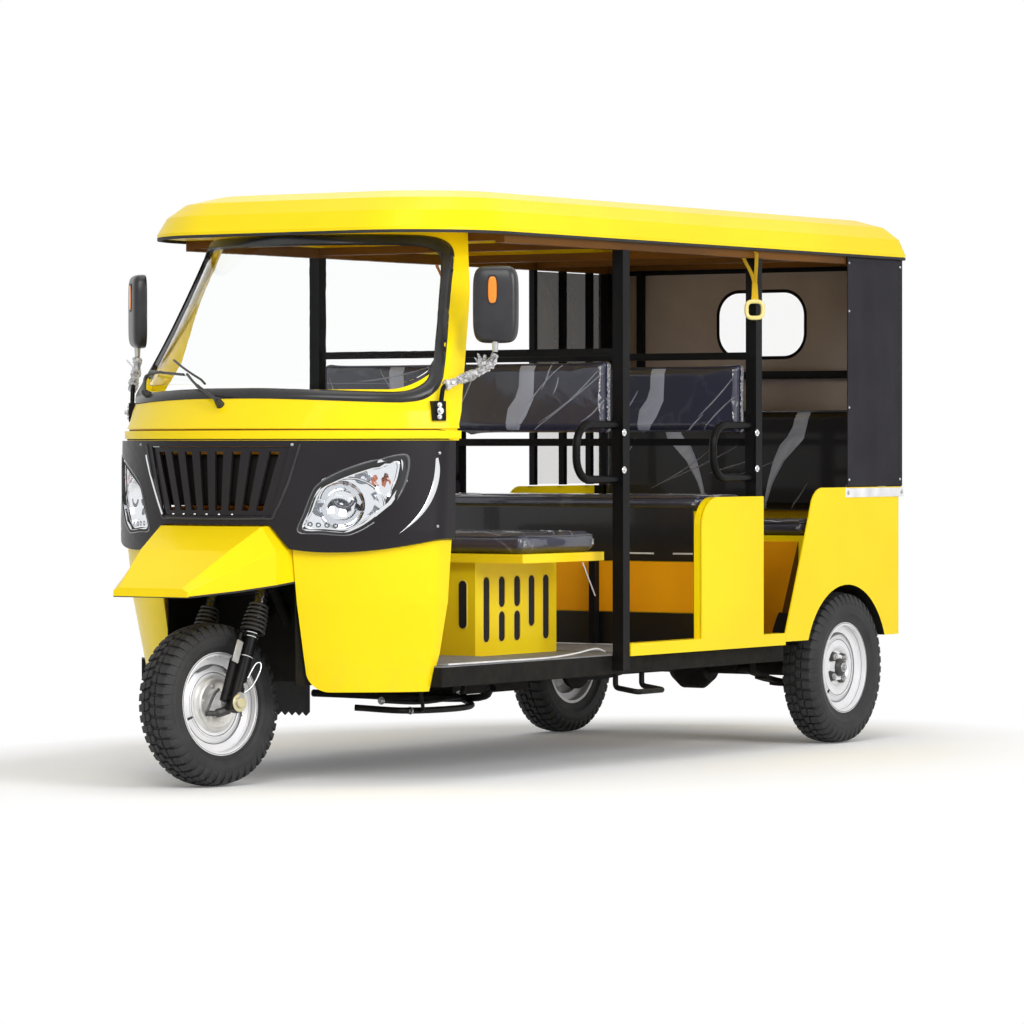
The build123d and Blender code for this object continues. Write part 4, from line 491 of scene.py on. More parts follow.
# %% Piece helpers
def settle(name, bm, material, body="chassis", smooth=True, bevel=0.0, segments=2, levels=0):
    mesh = bpy.data.meshes.new(name)
    bm.normal_update()
    bm.to_mesh(mesh)
    bm.free()
    piece = bpy.data.objects.new(name, mesh)
    scene.collection.objects.link(piece)
    mesh.materials.append(material)
    if bevel:
        edge = piece.modifiers.new("soft_edges", "BEVEL")
        edge.width = bevel
        edge.segments = segments
        edge.limit_method = "ANGLE"
        edge.angle_limit = math.radians(35)
    if levels:
        rounder = piece.modifiers.new("rounder", "SUBSURF")
        rounder.levels = rounder.render_levels = levels
    if smooth:
        mesh.shade_smooth()
        if not levels:
            mesh.set_sharp_from_angle(angle=SMOOTH_ANGLE)
    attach(piece, body)
    return piece


def ring_of(bm, points):
    return [bm.verts.new(p) for p in points]


def skin(bm, rings, closed=True, closed_run=False, caps=False):
    """Quads between rings of points, each ring as long as the next."""
    count = len(rings[0])
    runs = len(rings) if closed_run else len(rings) - 1
    for i in range(runs):
        near, far = rings[i], rings[(i + 1) % len(rings)]
        for j in range(count if closed else count - 1):
            k = (j + 1) % count
            bm.faces.new((near[j], near[k], far[k], far[j]))
    if caps:
        bm.faces.new(list(reversed(rings[0])))
        bm.faces.new(rings[-1])


def around(count):
    """Angles at even steps round a circle."""
    return [2 * math.pi * i / count for i in range(count)]


def on_wheel(matrix, along, out, angle):
    """A place in a frame whose X is a wheel's axis, at an angle round that axis."""
    return matrix @ Vector((along, out * math.cos(angle), out * math.sin(angle)))


def lathe(bm, profile, matrix, segments=96, closed=False):
    """Turn (along, out) profile points about the frame's own X axis."""
    rings = [ring_of(bm, [on_wheel(matrix, along, out, angle) for along, out in profile])
             for angle in around(segments)]
    skin(bm, rings, closed=closed, closed_run=True)


def on_curve(a, b, c, d, t):
    """A Catmull-Rom point between b and c."""
    return 0.5 * (2 * b + (c - a) * t + (2 * a - 5 * b + 4 * c - d) * t * t
                  + (3 * b - a - 3 * c + d) * t ** 3)


def smooth_path(points, steps=8):
    """Catmull-Rom points along a route."""
    route = [Vector(p) for p in points]
    route = [2 * route[0] - route[1]] + route + [2 * route[-1] - route[-2]]
    found = []
    for a, b, c, d in zip(route, route[1:], route[2:], route[3:]):
        found += [on_curve(a, b, c, d, step / steps) for step in range(steps)]
    found.append(route[-2])
    return found


def tube(bm, route, radius, sides=12, caps=True):
    """A round bar along a list of points; radius may be one value or one per point."""
    route = [Vector(p) for p in route]
    radii = radius if isinstance(radius, (list, tuple)) else [radius] * len(route)
    rings = []
    side = None
    for i, point in enumerate(route):
        run = (route[min(i + 1, len(route) - 1)] - route[max(i - 1, 0)]).normalized()
        if side is None:
            side = run.orthogonal().normalized()
        side = (side - run * side.dot(run)).normalized()
        other = run.cross(side)
        rings.append(ring_of(bm, [point + radii[i] * (math.cos(a) * side + math.sin(a) * other)
                                  for a in around(sides)]))
    skin(bm, rings, caps=caps)


def slab(bm, centre, size, turn=None):
    """A rectangular plate, turned about its own centre."""
    verts = bmesh.ops.create_cube(bm, size=1.0)["verts"]
    turn = turn.to_4x4() if turn else Matrix.Identity(4)
    matrix = Matrix.Translation(centre) @ turn @ Matrix.Diagonal((*size, 1))
    bmesh.ops.transform(bm, matrix=matrix, verts=verts)


def cone(bm, middle, turn, foot, top, height, sides):
    """A short round or many-sided boss about its middle; turn brings Z to its axis."""
    bmesh.ops.create_cone(bm, cap_ends=True, segments=sides, radius1=foot, radius2=top,
                          depth=height, matrix=Matrix.Translation(middle) @ turn)


def facing(axis):
    return axis.to_track_quat("Z", "Y").to_matrix().to_4x4()


def hexagon(bm, centre, axis, across, height):
    """A bolt's head on its washer, standing along axis."""
    axis = Vector(axis).normalized()
    turn = facing(axis)
    cone(bm, Vector(centre) + axis * height * 0.15, turn, across * 0.95, across * 0.9,
         height * 0.3, 20)
    cone(bm, Vector(centre) + axis * height * 0.5, turn, across * 0.58, across * 0.54, height, 6)


# %% [markdown]
# ## Tyres
# A tyre is a turned carcass with lugs on it. The tread repeats: a zigzag rib runs along each
# side of the middle, and heavy shoulder blocks reach a little way down the sidewall. Each
# block is drawn flat as (across, along) corners and wrapped round the carcass, so blocks of
# any outline follow the tyre's crown.

# %% Wheel frames
FRONT_HUB = Vector((0, -1.505, 0.2481689))
FRONT_RADIUS, REAR_RADIUS = 0.248, 0.262
REAR_AXLE_Y = 1.337
REAR_HUBS = {name: Vector((0.56 * side, REAR_AXLE_Y, REAR_RADIUS)) for side, name in SIDES}
STEER_AXIS = Vector((0, 0.4067366, 0.9135455))
FRONT_SPIN = Vector((0.9835715, -0.1649124, 0.0734238))


def hub_frame(centre, across, up=Vector((0, 0, 1))):
    """A frame whose X is the wheel's axis, at its hub."""
    across = across.normalized()
    forward = up.cross(across).normalized()
    rise = across.cross(forward)
    return Matrix.Translation(centre) @ Matrix((across, forward, rise)).transposed().to_4x4()


front_frame = hub_frame(FRONT_HUB, FRONT_SPIN, STEER_AXIS)
rear_frames = {side: hub_frame(hub, Vector((1, 0, 0))) for side, hub in REAR_HUBS.items()}
print("front hub frame", [round(v, 3) for v in front_frame.translation])

# %% Tyre carcass and tread
BEAD = 0.1545  # the tyre's inner radius
GROOVE_DEPTH = 0.0085
CROWN_DROP = 0.007  # the shoulder is this much lower than the middle
PITCHES = 46  # tread blocks round the tyre


def crown(across, radius):
    """The tread's outer radius, across from the tyre's middle."""
    share = abs(across) / 0.052
    return radius - CROWN_DROP * share ** 2


def carcass_profile(radius):
    """Half a tyre's outline, from the bead over the sidewall to the tread's floor."""
    floor = [(across, crown(across, radius) - GROOVE_DEPTH)
             for across in (0.0, 0.014, 0.028, 0.042, 0.05)]
    wall = [(0.0575, radius - 0.0235), (0.0615, radius - 0.033), (0.0625, radius - 0.04),
            (0.0618, radius - 0.0415), (0.0635, radius - 0.046), (0.0638, radius - 0.058),
            (0.0615, radius - 0.071), (0.0618, radius - 0.0725), (0.0565, radius - 0.082),
            (0.0555, radius - 0.0835), (0.0525, BEAD + 0.009), (0.0518, BEAD + 0.004),
            (0.0475, BEAD)]
    half = floor + wall
    return [(-a, r) for a, r in reversed(half[1:])] + half


BLOCKS = [
    [(0.0035, 0.04), (0.0035, 0.6), (0.0165, 0.8), (0.0205, 0.72), (0.0205, 0.16), (0.0165, 0.0)],
    [(0.024, 0.16), (0.024, 0.66), (0.029, 0.86), (0.0535, 0.86), (0.0535, 0.2), (0.03, 0.04)],
]
PITCH_ANGLE = 2 * math.pi / PITCHES


def lug(bm, corners, side, radius, start, matrix):
    """One tread block from its flat outline, sloped a little towards its top."""
    middle = Vector((sum(c[0] for c in corners), sum(c[1] for c in corners))) / len(corners)
    rings = []
    for depth, shrink in ((GROOVE_DEPTH + 0.003, 1.0), (0.0014, 0.97), (0.0, 0.9)):
        ring = []
        for across, along in corners:
            across = middle.x + (across - middle.x) * shrink
            along = middle.y + (along - middle.y) * shrink
            ring.append(on_wheel(matrix, side * across, crown(across, radius) - depth,
                                 (start + along) * PITCH_ANGLE))
        rings.append(ring_of(bm, ring))
    skin(bm, rings)
    bm.faces.new(rings[-1])


def shoulder_lug(bm, side, radius, start, matrix):
    """A heavy block that turns over the tyre's shoulder."""
    rows = [(0.05, 0.0005, 0.22, 0.84), (0.056, 0.0065, 0.22, 0.84), (0.0612, 0.0175, 0.25, 0.81),
            (0.064, 0.031, 0.3, 0.76), (0.0632, 0.035, 0.33, 0.73)]
    tops, feet = [], []
    for across, drop, first, last in rows:
        for group, lift, slack in ((tops, 0.0, 0.02), (feet, 0.01, -0.02)):
            out = radius - CROWN_DROP - drop - lift * 0.55
            inward = across - lift * 0.75
            group.append(ring_of(bm, [on_wheel(matrix, side * inward, out,
                                               (start + along) * PITCH_ANGLE)
                                      for along in (first + slack, last - slack)]))
    for i in range(len(rows) - 1):
        bm.faces.new((tops[i][0], tops[i][1], tops[i + 1][1], tops[i + 1][0]))
        for j in (0, 1):
            bm.faces.new((tops[i][j], tops[i + 1][j], feet[i + 1][j], feet[i][j]))
    bm.faces.new((tops[0][0], tops[0][1], feet[0][1], feet[0][0]))
    bm.faces.new((tops[-1][0], tops[-1][1], feet[-1][1], feet[-1][0]))


def tyre(name, node, body, matrix, radius):
    bm = bmesh.new()
    lathe(bm, carcass_profile(radius), matrix, 184)
    for pitch_number in range(PITCHES):
        for side, shift in ((1, 0.0), (-1, 0.5)):
            for corners in BLOCKS:
                lug(bm, corners, side, radius, pitch_number + shift, matrix)
            shoulder_lug(bm, side, radius, pitch_number + shift, matrix)
    bmesh.ops.recalc_face_normals(bm, faces=bm.faces)
    piece = settle(name, bm, tyre_rubber, body)
    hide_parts(node)


tyre("front_tread_tyre", "front_tyre", "front_road_wheel", front_frame, FRONT_RADIUS)
for side_name, rear_matrix in rear_frames.items():
    tyre("rear_tread_tyre_" + side_name, "rear_tyre_" + side_name, "rear_%s_road_wheel" % side_name,
         rear_matrix, REAR_RADIUS)
print("tyres:", [o.name for o in scene.objects if "tread_tyre" in o.name])

# %% [markdown]
# ## Seats
# Three rows of seats, each a cushion and a backrest of foam under dark blue vinyl. Each pad
# starts as a slightly small block with rounded corners, remeshed evenly, and cloth simulation
# blows it up: the middle crowns and the sides pull in between the corners. How far any point
# may move is capped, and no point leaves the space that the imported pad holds.

# %% Foam blocks
PAD_VOXEL = 0.0075
PAD_STEPS = 20
PADS = {  # name: node, start inset, corner radius, most movement, fill
    "driver_pad": ("driver_cushion", 0.0075, 0.024, 0.016, 0.75),
    "driver_back_pad": ("driver_backrest", 0.0075, 0.02, 0.014, 0.7),
    "middle_pad": ("middle_cushion", 0.0065, 0.022, 0.013, 0.75),
    "middle_back_pad": ("middle_backrest", 0.0075, 0.02, 0.014, 0.7),
    "rear_pad": ("rear_cushion", 0.0065, 0.022, 0.013, 0.75),
    "rear_back_pad": ("rear_backrest", 0.0075, 0.022, 0.014, 0.7),
}
# the cushions wear the lighter, painted-light copy of the vinyl
PAD_VINYL = {"driver_pad": painted_light_cushion_vinyl, "middle_pad": painted_light_cushion_vinyl, "rear_pad": painted_light_cushion_vinyl,
             "rear_back_pad": rear_vinyl}


def foam_block(name, node, inset, corner):
    low, high = (Vector(c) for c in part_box(node))
    size = high - low - Vector((2 * inset,) * 3)
    bm = bmesh.new()
    slab(bm, (low + high) / 2, size)
    bmesh.ops.bevel(bm, geom=bm.edges[:], offset=corner, segments=4, profile=0.6, affect="EDGES")
    piece = settle(name, bm, PAD_VINYL.get(name, seat_vinyl))
    even = piece.modifiers.new("even", "REMESH")
    even.mode = "VOXEL"
    even.voxel_size = PAD_VOXEL
    apply_all(piece)
    return piece


def apply_all(piece):
    """Make the piece's mesh what its modifiers give, and drop them."""
    bpy.context.view_layer.update()
    depsgraph = bpy.context.evaluated_depsgraph_get()
    made = bpy.data.meshes.new_from_object(piece.evaluated_get(depsgraph))
    piece.modifiers.clear()
    made.name = piece.name
    piece.data = made


pads = {name: foam_block(name, node, inset, corner)
        for name, (node, inset, corner, cap, fill) in PADS.items()}
print({name: len(piece.data.vertices) for name, piece in pads.items()})

# %% Blow the pads up
VINYL_COVER = {"quality": 4, "mass": 0.3, "tension_stiffness": 12, "compression_stiffness": 12,
               "shear_stiffness": 6, "bending_stiffness": 0.4, "use_pressure": True,
               "uniform_pressure_force": 4.0}


def blow_up(pieces):
    starts = {}
    for piece in pieces:
        starts[piece.name] = np.array([v.co for v in piece.data.vertices])
        cloth = piece.modifiers.new("cloth", "CLOTH")
        for name, value in VINYL_COVER.items():
            setattr(cloth.settings, name, value)
        cloth.settings.effector_weights.gravity = 0
        cloth.collision_settings.use_collision = False
    for step in range(1, PAD_STEPS + 1):
        scene.frame_set(step)
    depsgraph = bpy.context.evaluated_depsgraph_get()
    blown = {}
    for piece in pieces:
        mesh = piece.evaluated_get(depsgraph).to_mesh()
        blown[piece.name] = np.array([v.co for v in mesh.vertices])
        piece.evaluated_get(depsgraph).to_mesh_clear()
    scene.frame_set(1)
    for piece in pieces:
        piece.modifiers.clear()
    return starts, blown


def keep_in_place(piece, start, moved, node, cap):
    low, high = (np.array(c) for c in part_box(node))
    shift = moved - start
    length = np.linalg.norm(shift, axis=1, keepdims=True)
    shift *= np.minimum(1.0, cap / np.maximum(length, 1e-9))
    points = np.clip(start + shift, low + 0.0004, high - 0.0004)
    piece.data.vertices.foreach_set("co", points.ravel())
    piece.data.update()
    piece.data.shade_smooth()


starts, blown = blow_up(list(pads.values()))
shapes = {name: (starts[name], blown[name]) for name in pads}
for name, piece in pads.items():
    node, inset, corner, cap, fill = PADS[name]
    keep_in_place(piece, *shapes[name], node, cap)
    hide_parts(node)
print("pads blown up by", {name: round(float(np.abs(b - a).max()) * 1000, 1)
                           for name, (a, b) in shapes.items()}, "mm")

# %% [markdown]
# Each backrest pad wears two pale zigzag stripes. A stripe is a flat outline laid on the pad: a
# fine strip of quads between its two edges, every point dropped onto the vinyl and left just proud
# of it. The welt along the pad's edge and the creases of the wrapping film are laid the same way.

# %% Things laid on a pad
def dropper(piece):
    tree = BVHTree.FromObject(piece, bpy.context.evaluated_depsgraph_get())

    def drop(point, along, lift):
        """The place on the pad under a point, looking along a direction."""
        along = Vector(along)
        hit, normal = tree.ray_cast(Vector(point) - along * 0.3, along)[:2]
        if hit is None:
            hit, normal = tree.find_nearest(Vector(point))[:2]
        return hit + normal * lift, normal

    return drop


def between(points, share):
    """A point along a polyline whose runs each take the same share."""
    place = share * (len(points) - 1)
    i = min(int(place), len(points) - 2)
    t = place - i
    return tuple(a + (b - a) * t for a, b in zip(points[i], points[i + 1]))


def laid_strip(bm, drop, left, right, along, to_space, lift=0.0012, rows=40, columns=6):
    grid = []
    for i in range(rows + 1):
        a, b = between(left, i / rows), between(right, i / rows)
        grid.append([bm.verts.new(drop(to_space(a[0] + (b[0] - a[0]) * j / columns,
                                                a[1] + (b[1] - a[1]) * j / columns), along,
                                       lift if 0 < j < columns else 0.0003)[0])
                     for j in range(columns + 1)])
    for i in range(rows):
        for j in range(columns):
            bm.faces.new((grid[i][j], grid[i][j + 1], grid[i + 1][j + 1], grid[i + 1][j]))


def laid_cord(bm, drop, route, along, to_space, radius, steps=60, sink=0.5):
    points = [drop(to_space(*between(route, i / steps)), along, radius * (1 - sink))[0]
              for i in range(steps + 1)]
    tube(bm, points, radius, 6)


BACK_LEFT = [(0.23, 1.318), (0.229, 1.272), (0.227, 1.226), (0.214, 1.19), (0.184, 1.154),
             (0.176, 1.11), (0.17, 1.06)]
BACK_RIGHT = [(0.288, 1.318), (0.287, 1.272), (0.285, 1.226), (0.283, 1.184), (0.254, 1.128),
              (0.226, 1.092), (0.203, 1.06)]
REAR_LEFT = [(0.258, 1.172), (0.24, 1.1), (0.216, 1.062), (0.186, 1.033), (0.158, 0.975),
             (0.136, 0.9), (0.112, 0.79)]
REAR_RIGHT = [(0.316, 1.172), (0.298, 1.105), (0.284, 1.055), (0.24, 1.012), (0.203, 0.975),
              (0.158, 0.9), (0.118, 0.79)]


def stripes_on(pad_name, left, right, depth):
    drop = dropper(pads[pad_name])
    bm = bmesh.new()
    for side in (1, -1):
        laid_strip(bm, drop, [(side * x, z) for x, z in left],
                   [(side * x, z) for x, z in right], (0, 1, 0), lambda u, v: (u, depth, v))
    stripes = settle(pad_name + "_stripes", bm, stripe_vinyl)


stripes_on("driver_back_pad", BACK_LEFT, BACK_RIGHT, -0.136)
stripes_on("middle_back_pad", [(x - 0.018, z) for x, z in BACK_LEFT],
           [(x - 0.021, z) for x, z in BACK_RIGHT], 0.704)
stripes_on("rear_back_pad", REAR_LEFT, REAR_RIGHT, 1.619)


def welt_round(pad_name, inset=0.012, radius=0.0026):
    """A sewn cord round the pad's broad face, a little in from its edge."""
    low, high = (Vector(c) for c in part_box(PADS[pad_name][0]))
    drop = dropper(pads[pad_name])
    flat = high.z - low.z < 0.1
    first, last = (low.y, high.y) if flat else (low.z, high.z)
    bend = 0.02
    left, right = low.x + inset + bend, high.x - inset - bend
    foot, top = first + inset + bend, last - inset - bend
    route = []
    for u, v, start in ((right, top, 0), (left, top, 90), (left, foot, 180), (right, foot, 270)):
        for turn in (0, 30, 60, 90):
            angle = math.radians(start + turn)
            route.append((u + bend * math.cos(angle), v + bend * math.sin(angle)))
    route.append(route[0])
    even = []
    for p, q in zip(route, route[1:]):
        count = max(1, int(math.dist(p, q) / 0.012))
        even += [(p[0] + (q[0] - p[0]) * i / count, p[1] + (q[1] - p[1]) * i / count)
                 for i in range(count)]
    even.append(route[0])
    bm = bmesh.new()
    if flat:
        laid_cord(bm, drop, even, (0, 0, -1), lambda u, v: (u, v, high.z), radius, len(even) - 1)
    else:
        laid_cord(bm, drop, even, (0, 1, 0), lambda u, v: (u, low.y, v), radius, len(even) - 1)
    welt = settle(pad_name + "_welt", bm, seat_vinyl)


for pad_name in pads:
    welt_round(pad_name)
print("stripes and welts laid")

# %% [markdown]
# The clear film was pulled tight over the pads, so long straight creases run slantwise across
# them, and where it is folded under at the ends it bunches into a crumpled hem. The creases and
# hems are pale partly from the film's own whitening and partly as painted highlight.

# %% Film creases and hems
# partly painted highlight: creases and hems are paler than clear film to stand for the light they
# catch
crease_highlight_film = finish("crease_highlight_film", (0.42, 0.45, 0.53), 0.16, coat=1.0, alpha=0.5)
hem_highlight_film = finish("hem_highlight_film", (0.86, 0.88, 0.93), 0.14, coat=1.0, alpha=0.85)
hem_tree = hem_highlight_film.node_tree
set_from(hem_highlight_film, "Alpha", spread(hem_tree, cells(hem_tree, 120), 0.15, 0.6, 0.95, 0.35))


def creases_on(pad_name, lines, width=0.0045):
    """Each crease is a low ridge: start, end, and a little bow between them."""
    low, high = (Vector(c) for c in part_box(PADS[pad_name][0]))
    flat = high.z - low.z < 0.1
    drop = dropper(pads[pad_name])
    bm = bmesh.new()
    steps = 26
    for u0, v0, u1, v1, bow in lines:
        rows = []
        run = Vector((u1 - u0, v1 - v0))
        across = Vector((-run.y, run.x)).normalized()
        for i in range(steps + 1):
            t = i / steps
            middle = Vector((u0, v0)) + run * t + across * bow * math.sin(math.pi * t)
            half = width / 2 * (0.25 + math.sin(math.pi * t) ** 0.5)
            row = []
            for offset, lift in ((-half, 0.0004), (0, 0.0022), (half, 0.0004)):
                u, v = middle + across * offset
                if flat:
                    row.append(drop((u, v, high.z), (0, 0, -1), lift)[0])
                else:
                    row.append(drop((u, low.y, v), (0, 1, 0), lift)[0])
            rows.append(ring_of(bm, row))
        skin(bm, rows, closed=False)
    creases = settle(pad_name + "_creases", bm, crease_highlight_film)


creases_on("driver_back_pad", [
    (0.35, 1.3, 0.315, 1.215, 0.004), (0.4, 1.3, 0.205, 1.075, -0.018),
    (0.548, 1.29, 0.265, 1.075, 0.012), (0.56, 1.275, 0.3, 1.105, 0.006),
    (0.555, 1.19, 0.465, 1.11, 0.01), (0.38, 1.255, 0.36, 1.2, 0.003),
    (-0.1, 1.3, -0.42, 1.245, 0.01), (-0.18, 1.13, -0.33, 1.29, 0.01),
    (0.06, 1.29, -0.05, 1.1, 0.008), (-0.45, 1.1, -0.53, 1.26, 0.006)])
creases_on("middle_back_pad", [
    (0.54, 1.265, 0.4, 1.13, 0.004), (0.545, 1.2, 0.415, 1.085, -0.004),
    (0.42, 1.14, 0.34, 1.072, 0.002), (0.16, 1.22, 0.11, 1.15, 0.002),
    (0.08, 1.29, 0.055, 1.235, 0.004), (-0.12, 1.29, -0.3, 1.1, 0.01),
    (-0.4, 1.28, -0.52, 1.16, 0.008)])
creases_on("rear_back_pad", [
    (-0.1, 1.02, -0.36, 0.875, 0.01), (0.02, 1.035, -0.3, 0.9, 0.006),
    (0.1, 0.99, -0.12, 0.93, 0.002), (0.16, 0.975, 0.02, 0.93, 0.004),
    (0.5, 0.95, 0.38, 0.8, 0.006), (0.3, 0.9, 0.22, 0.8, 0.004),
    (-0.42, 1.06, -0.52, 0.92, 0.006)])
creases_on("driver_pad", [
    (0.46, -0.46, 0.2, -0.2, 0.02), (0.4, -0.5, 0.05, -0.36, 0.01),
    (0.3, -0.12, 0.47, -0.3, 0.01), (-0.05, -0.48, -0.2, -0.12, 0.02),
    (0.12, -0.5, 0.02, -0.3, 0.008), (-0.25, -0.49, -0.44, -0.28, 0.01),
    (0.48, -0.2, 0.34, -0.08, 0.006)])
creases_on("middle_pad", [
    (0.55, 0.46, 0.1, 0.6, 0.01), (0.52, 0.56, 0.3, 0.68, 0.006),
    (0.05, 0.45, -0.3, 0.66, 0.01), (-0.3, 0.45, -0.52, 0.62, 0.008)])
creases_on("rear_pad", [
    (0.55, 1.16, 0.2, 1.34, 0.01), (0.52, 1.28, 0.3, 1.46, 0.006),
    (0.05, 1.14, -0.3, 1.4, 0.01), (-0.3, 1.14, -0.52, 1.42, 0.008)])


def crumpled_hem(name, pad_name, route, width, along, seed, height):
    """A bunched band of film: a strip laid along a route whose points jump in and out."""
    chance = random.Random(seed)
    tree = BVHTree.FromObject(pads[pad_name], bpy.context.evaluated_depsgraph_get())
    bm = bmesh.new()
    rows = []
    steps = 46
    for i in range(steps + 1):
        place = Vector(between(route, i / steps))
        ahead, behind = (Vector(between(route, min(1.0, max(0.0, (i + k) / steps))))
                         for k in (1, -1))
        side = (ahead - behind).normalized().cross(Vector(along)).normalized()
        row = []
        for j in range(5):
            share = (j / 4 - 0.5) * width * (0.75 + 0.5 * chance.random())
            spot, normal = tree.find_nearest(place + side * share)[:2]
            row.append(spot + normal * (0.0006 + height * chance.random() ** 1.6))
        rows.append(ring_of(bm, row))
    skin(bm, rows, closed=False)
    hem = settle(name, bm, hem_highlight_film, smooth=False)


TO_BACK, TO_RIGHT = (0, 1, 0), (-1, 0, 0)
HEMS = (  # name, pad, route, width, along, seed, height
    ("driver_back_hem", "driver_back_pad",
     [(0.564, -0.2, 1.312), (0.568, -0.2, 1.2), (0.566, -0.2, 1.1)], 0.02, TO_BACK, 3, 0.005),
    ("driver_back_end_hem", "driver_back_pad",
     [(0.64, -0.122, 1.314), (0.64, -0.118, 1.2), (0.64, -0.122, 1.09)], 0.026, TO_RIGHT, 4, 0.005),
    ("middle_back_hem", "middle_back_pad",
     [(0.562, 0.6, 1.314), (0.566, 0.6, 1.23), (0.567, 0.6, 1.115)], 0.02, TO_BACK, 5, 0.005),
    ("middle_back_end_hem", "middle_back_pad",
     [(0.64, 0.72, 1.314), (0.64, 0.722, 1.2), (0.64, 0.72, 1.09)], 0.026, TO_RIGHT, 6, 0.005),
    ("driver_pad_corner_hem", "driver_pad",
     [(0.64, -0.5, 0.747), (0.64, -0.504, 0.72), (0.64, -0.498, 0.694)], 0.034, TO_RIGHT, 7, 0.007),
    ("driver_pad_rear_hem", "driver_pad",
     [(0.64, -0.088, 0.746), (0.64, -0.075, 0.72), (0.64, -0.096, 0.694)], 0.026, TO_RIGHT, 8,
     0.006),
    ("middle_pad_corner_hem", "middle_pad",
     [(0.548, 0.3, 0.866), (0.555, 0.3, 0.842), (0.552, 0.3, 0.82)], 0.045, TO_BACK, 9, 0.007),
    ("middle_pad_end_hem", "middle_pad",
     [(0.64, 0.448, 0.862), (0.64, 0.452, 0.842), (0.64, 0.45, 0.82)], 0.04, TO_RIGHT, 10, 0.006),
    ("rear_pad_corner_hem", "rear_pad",
     [(0.54, 1.0, 0.77), (0.556, 1.0, 0.75), (0.545, 1.0, 0.728)], 0.04, TO_BACK, 11, 0.006),
)
for hem in HEMS:
    crumpled_hem(*hem)
print("film creases and hems laid")

# %% [markdown]
# ## Nose
# Trim on the nose is drawn as it is seen from the front, as (x, z) points, and every point is
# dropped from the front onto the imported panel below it. So flat outlines become strips that
# follow the nose's curve, and stand only as proud of it as they should.

# %% Dropping points from the front
def front_tree(**offsets):
    """A search tree over packed panels; each name says how far its face lies behind the skin."""
    points, faces, behind = [], [], []
    for node_name, offset in offsets.items():
        mesh = nodes[node_name].data
        start = len(points)
        points += [v.co.copy() for v in mesh.vertices]
        faces += [[start + i for i in face.vertices] for face in mesh.polygons]
        behind += [offset] * len(mesh.polygons)
    return BVHTree.FromPolygons(points, faces), behind


mask_tree = front_tree(nose_mask=0.0, grille=0.0)
cowl_tree = front_tree(cowl=0.0, windscreen_gasket=-0.005, windscreen=0.008)


def front_place(tree, x, z, lift=0.0):
    """The skin's place and outward direction at (x, z), lifted off it."""
    search, behind = tree
    for drop in range(5):
        start = Vector((x, -2.5, z - 0.004 * drop))
        hit, normal, index = search.ray_cast(start, Vector((0, 1, 0)))[:3]
        if hit and hit.y < -0.75:
            break
    else:
        hit, normal, index = search.find_nearest(Vector((x, -1.4 + 0.5 * x * x, z)))[:3]
    if normal.y > 0:
        normal = -normal
    return hit + normal * (lift + behind[index]), normal


def even_points(points, gap, closed=False):
    """Points at even steps along straight runs."""
    found = []
    ends = points[1:] + points[:1] if closed else points[1:]
    for a, b in zip(points, ends):
        count = max(1, round(math.dist(a, b) / gap))
        found += [tuple(p + (q - p) * i / count for p, q in zip(a, b)) for i in range(count)]
    return found if closed else found + [points[-1]]


def rounded(points, steps=6):
    """A closed curved loop through flat points."""
    found = []
    for i in range(len(points)):
        corners = [Vector(points[(i + k) % len(points)]) for k in (-1, 0, 1, 2)]
        found += [tuple(on_curve(*corners, step / steps)) for step in range(steps)]
    return found


def face_out(bm, side):
    """A piece mirrored to the right has its faces turned round."""
    if side < 0:
        bmesh.ops.reverse_faces(bm, faces=bm.faces)


def part_way(outer, inner, share, side):
    """Points between two lines of (x, z) points, mirrored where side is -1."""
    return [(side * (ox + (ix - ox) * share), oz + (iz - oz) * share)
            for (ox, oz), (ix, iz) in zip(outer, inner)]


def front_band(bm, tree, outer, inner, profile, side=1, closed=True):
    """A moulded band between two lines of (x, z) points; profile is (share, lift) pairs."""
    skin(bm, [ring_of(bm, [front_place(tree, x, z, lift)[0]
                           for x, z in part_way(outer, inner, share, side)])
              for share, lift in profile], closed=closed)
    face_out(bm, side)


print("nose helpers ready")

# %% [markdown]
# The windscreen sits in a broad rubber moulding with a rounded back. Its outer lip covers the
# edge of the cowl and its inner lip presses on the glass.

# %% Windscreen moulding
MOULD_OUTER = [(0.0, 1.18), (0.11, 1.18), (0.247, 1.1765), (0.36, 1.172), (0.46, 1.168),
               (0.515, 1.168), (0.55, 1.178), (0.568, 1.204), (0.5685, 1.235), (0.562, 1.265),
               (0.5385, 1.357), (0.522, 1.42), (0.507, 1.482), (0.494, 1.54), (0.484, 1.59),
               (0.472, 1.635), (0.452, 1.664), (0.418, 1.679), (0.36, 1.683), (0.2, 1.684),
               (0.0, 1.684)]
MOULD_INNER = [(0.0, 1.214), (0.11, 1.214), (0.231, 1.21), (0.346, 1.204), (0.448, 1.2),
               (0.49, 1.2), (0.518, 1.208), (0.536, 1.228), (0.5385, 1.25), (0.534, 1.275),
               (0.513, 1.357), (0.498, 1.42), (0.483, 1.482), (0.47, 1.54), (0.46, 1.582),
               (0.449, 1.618), (0.431, 1.638), (0.402, 1.648), (0.35, 1.651), (0.2, 1.652),
               (0.0, 1.652)]


def whole_loop(half):
    """A curved loop from its left half and the mirror image of that half."""
    return rounded(half[:-1] + [(-x, z) for x, z in reversed(half)][:-1], 5)


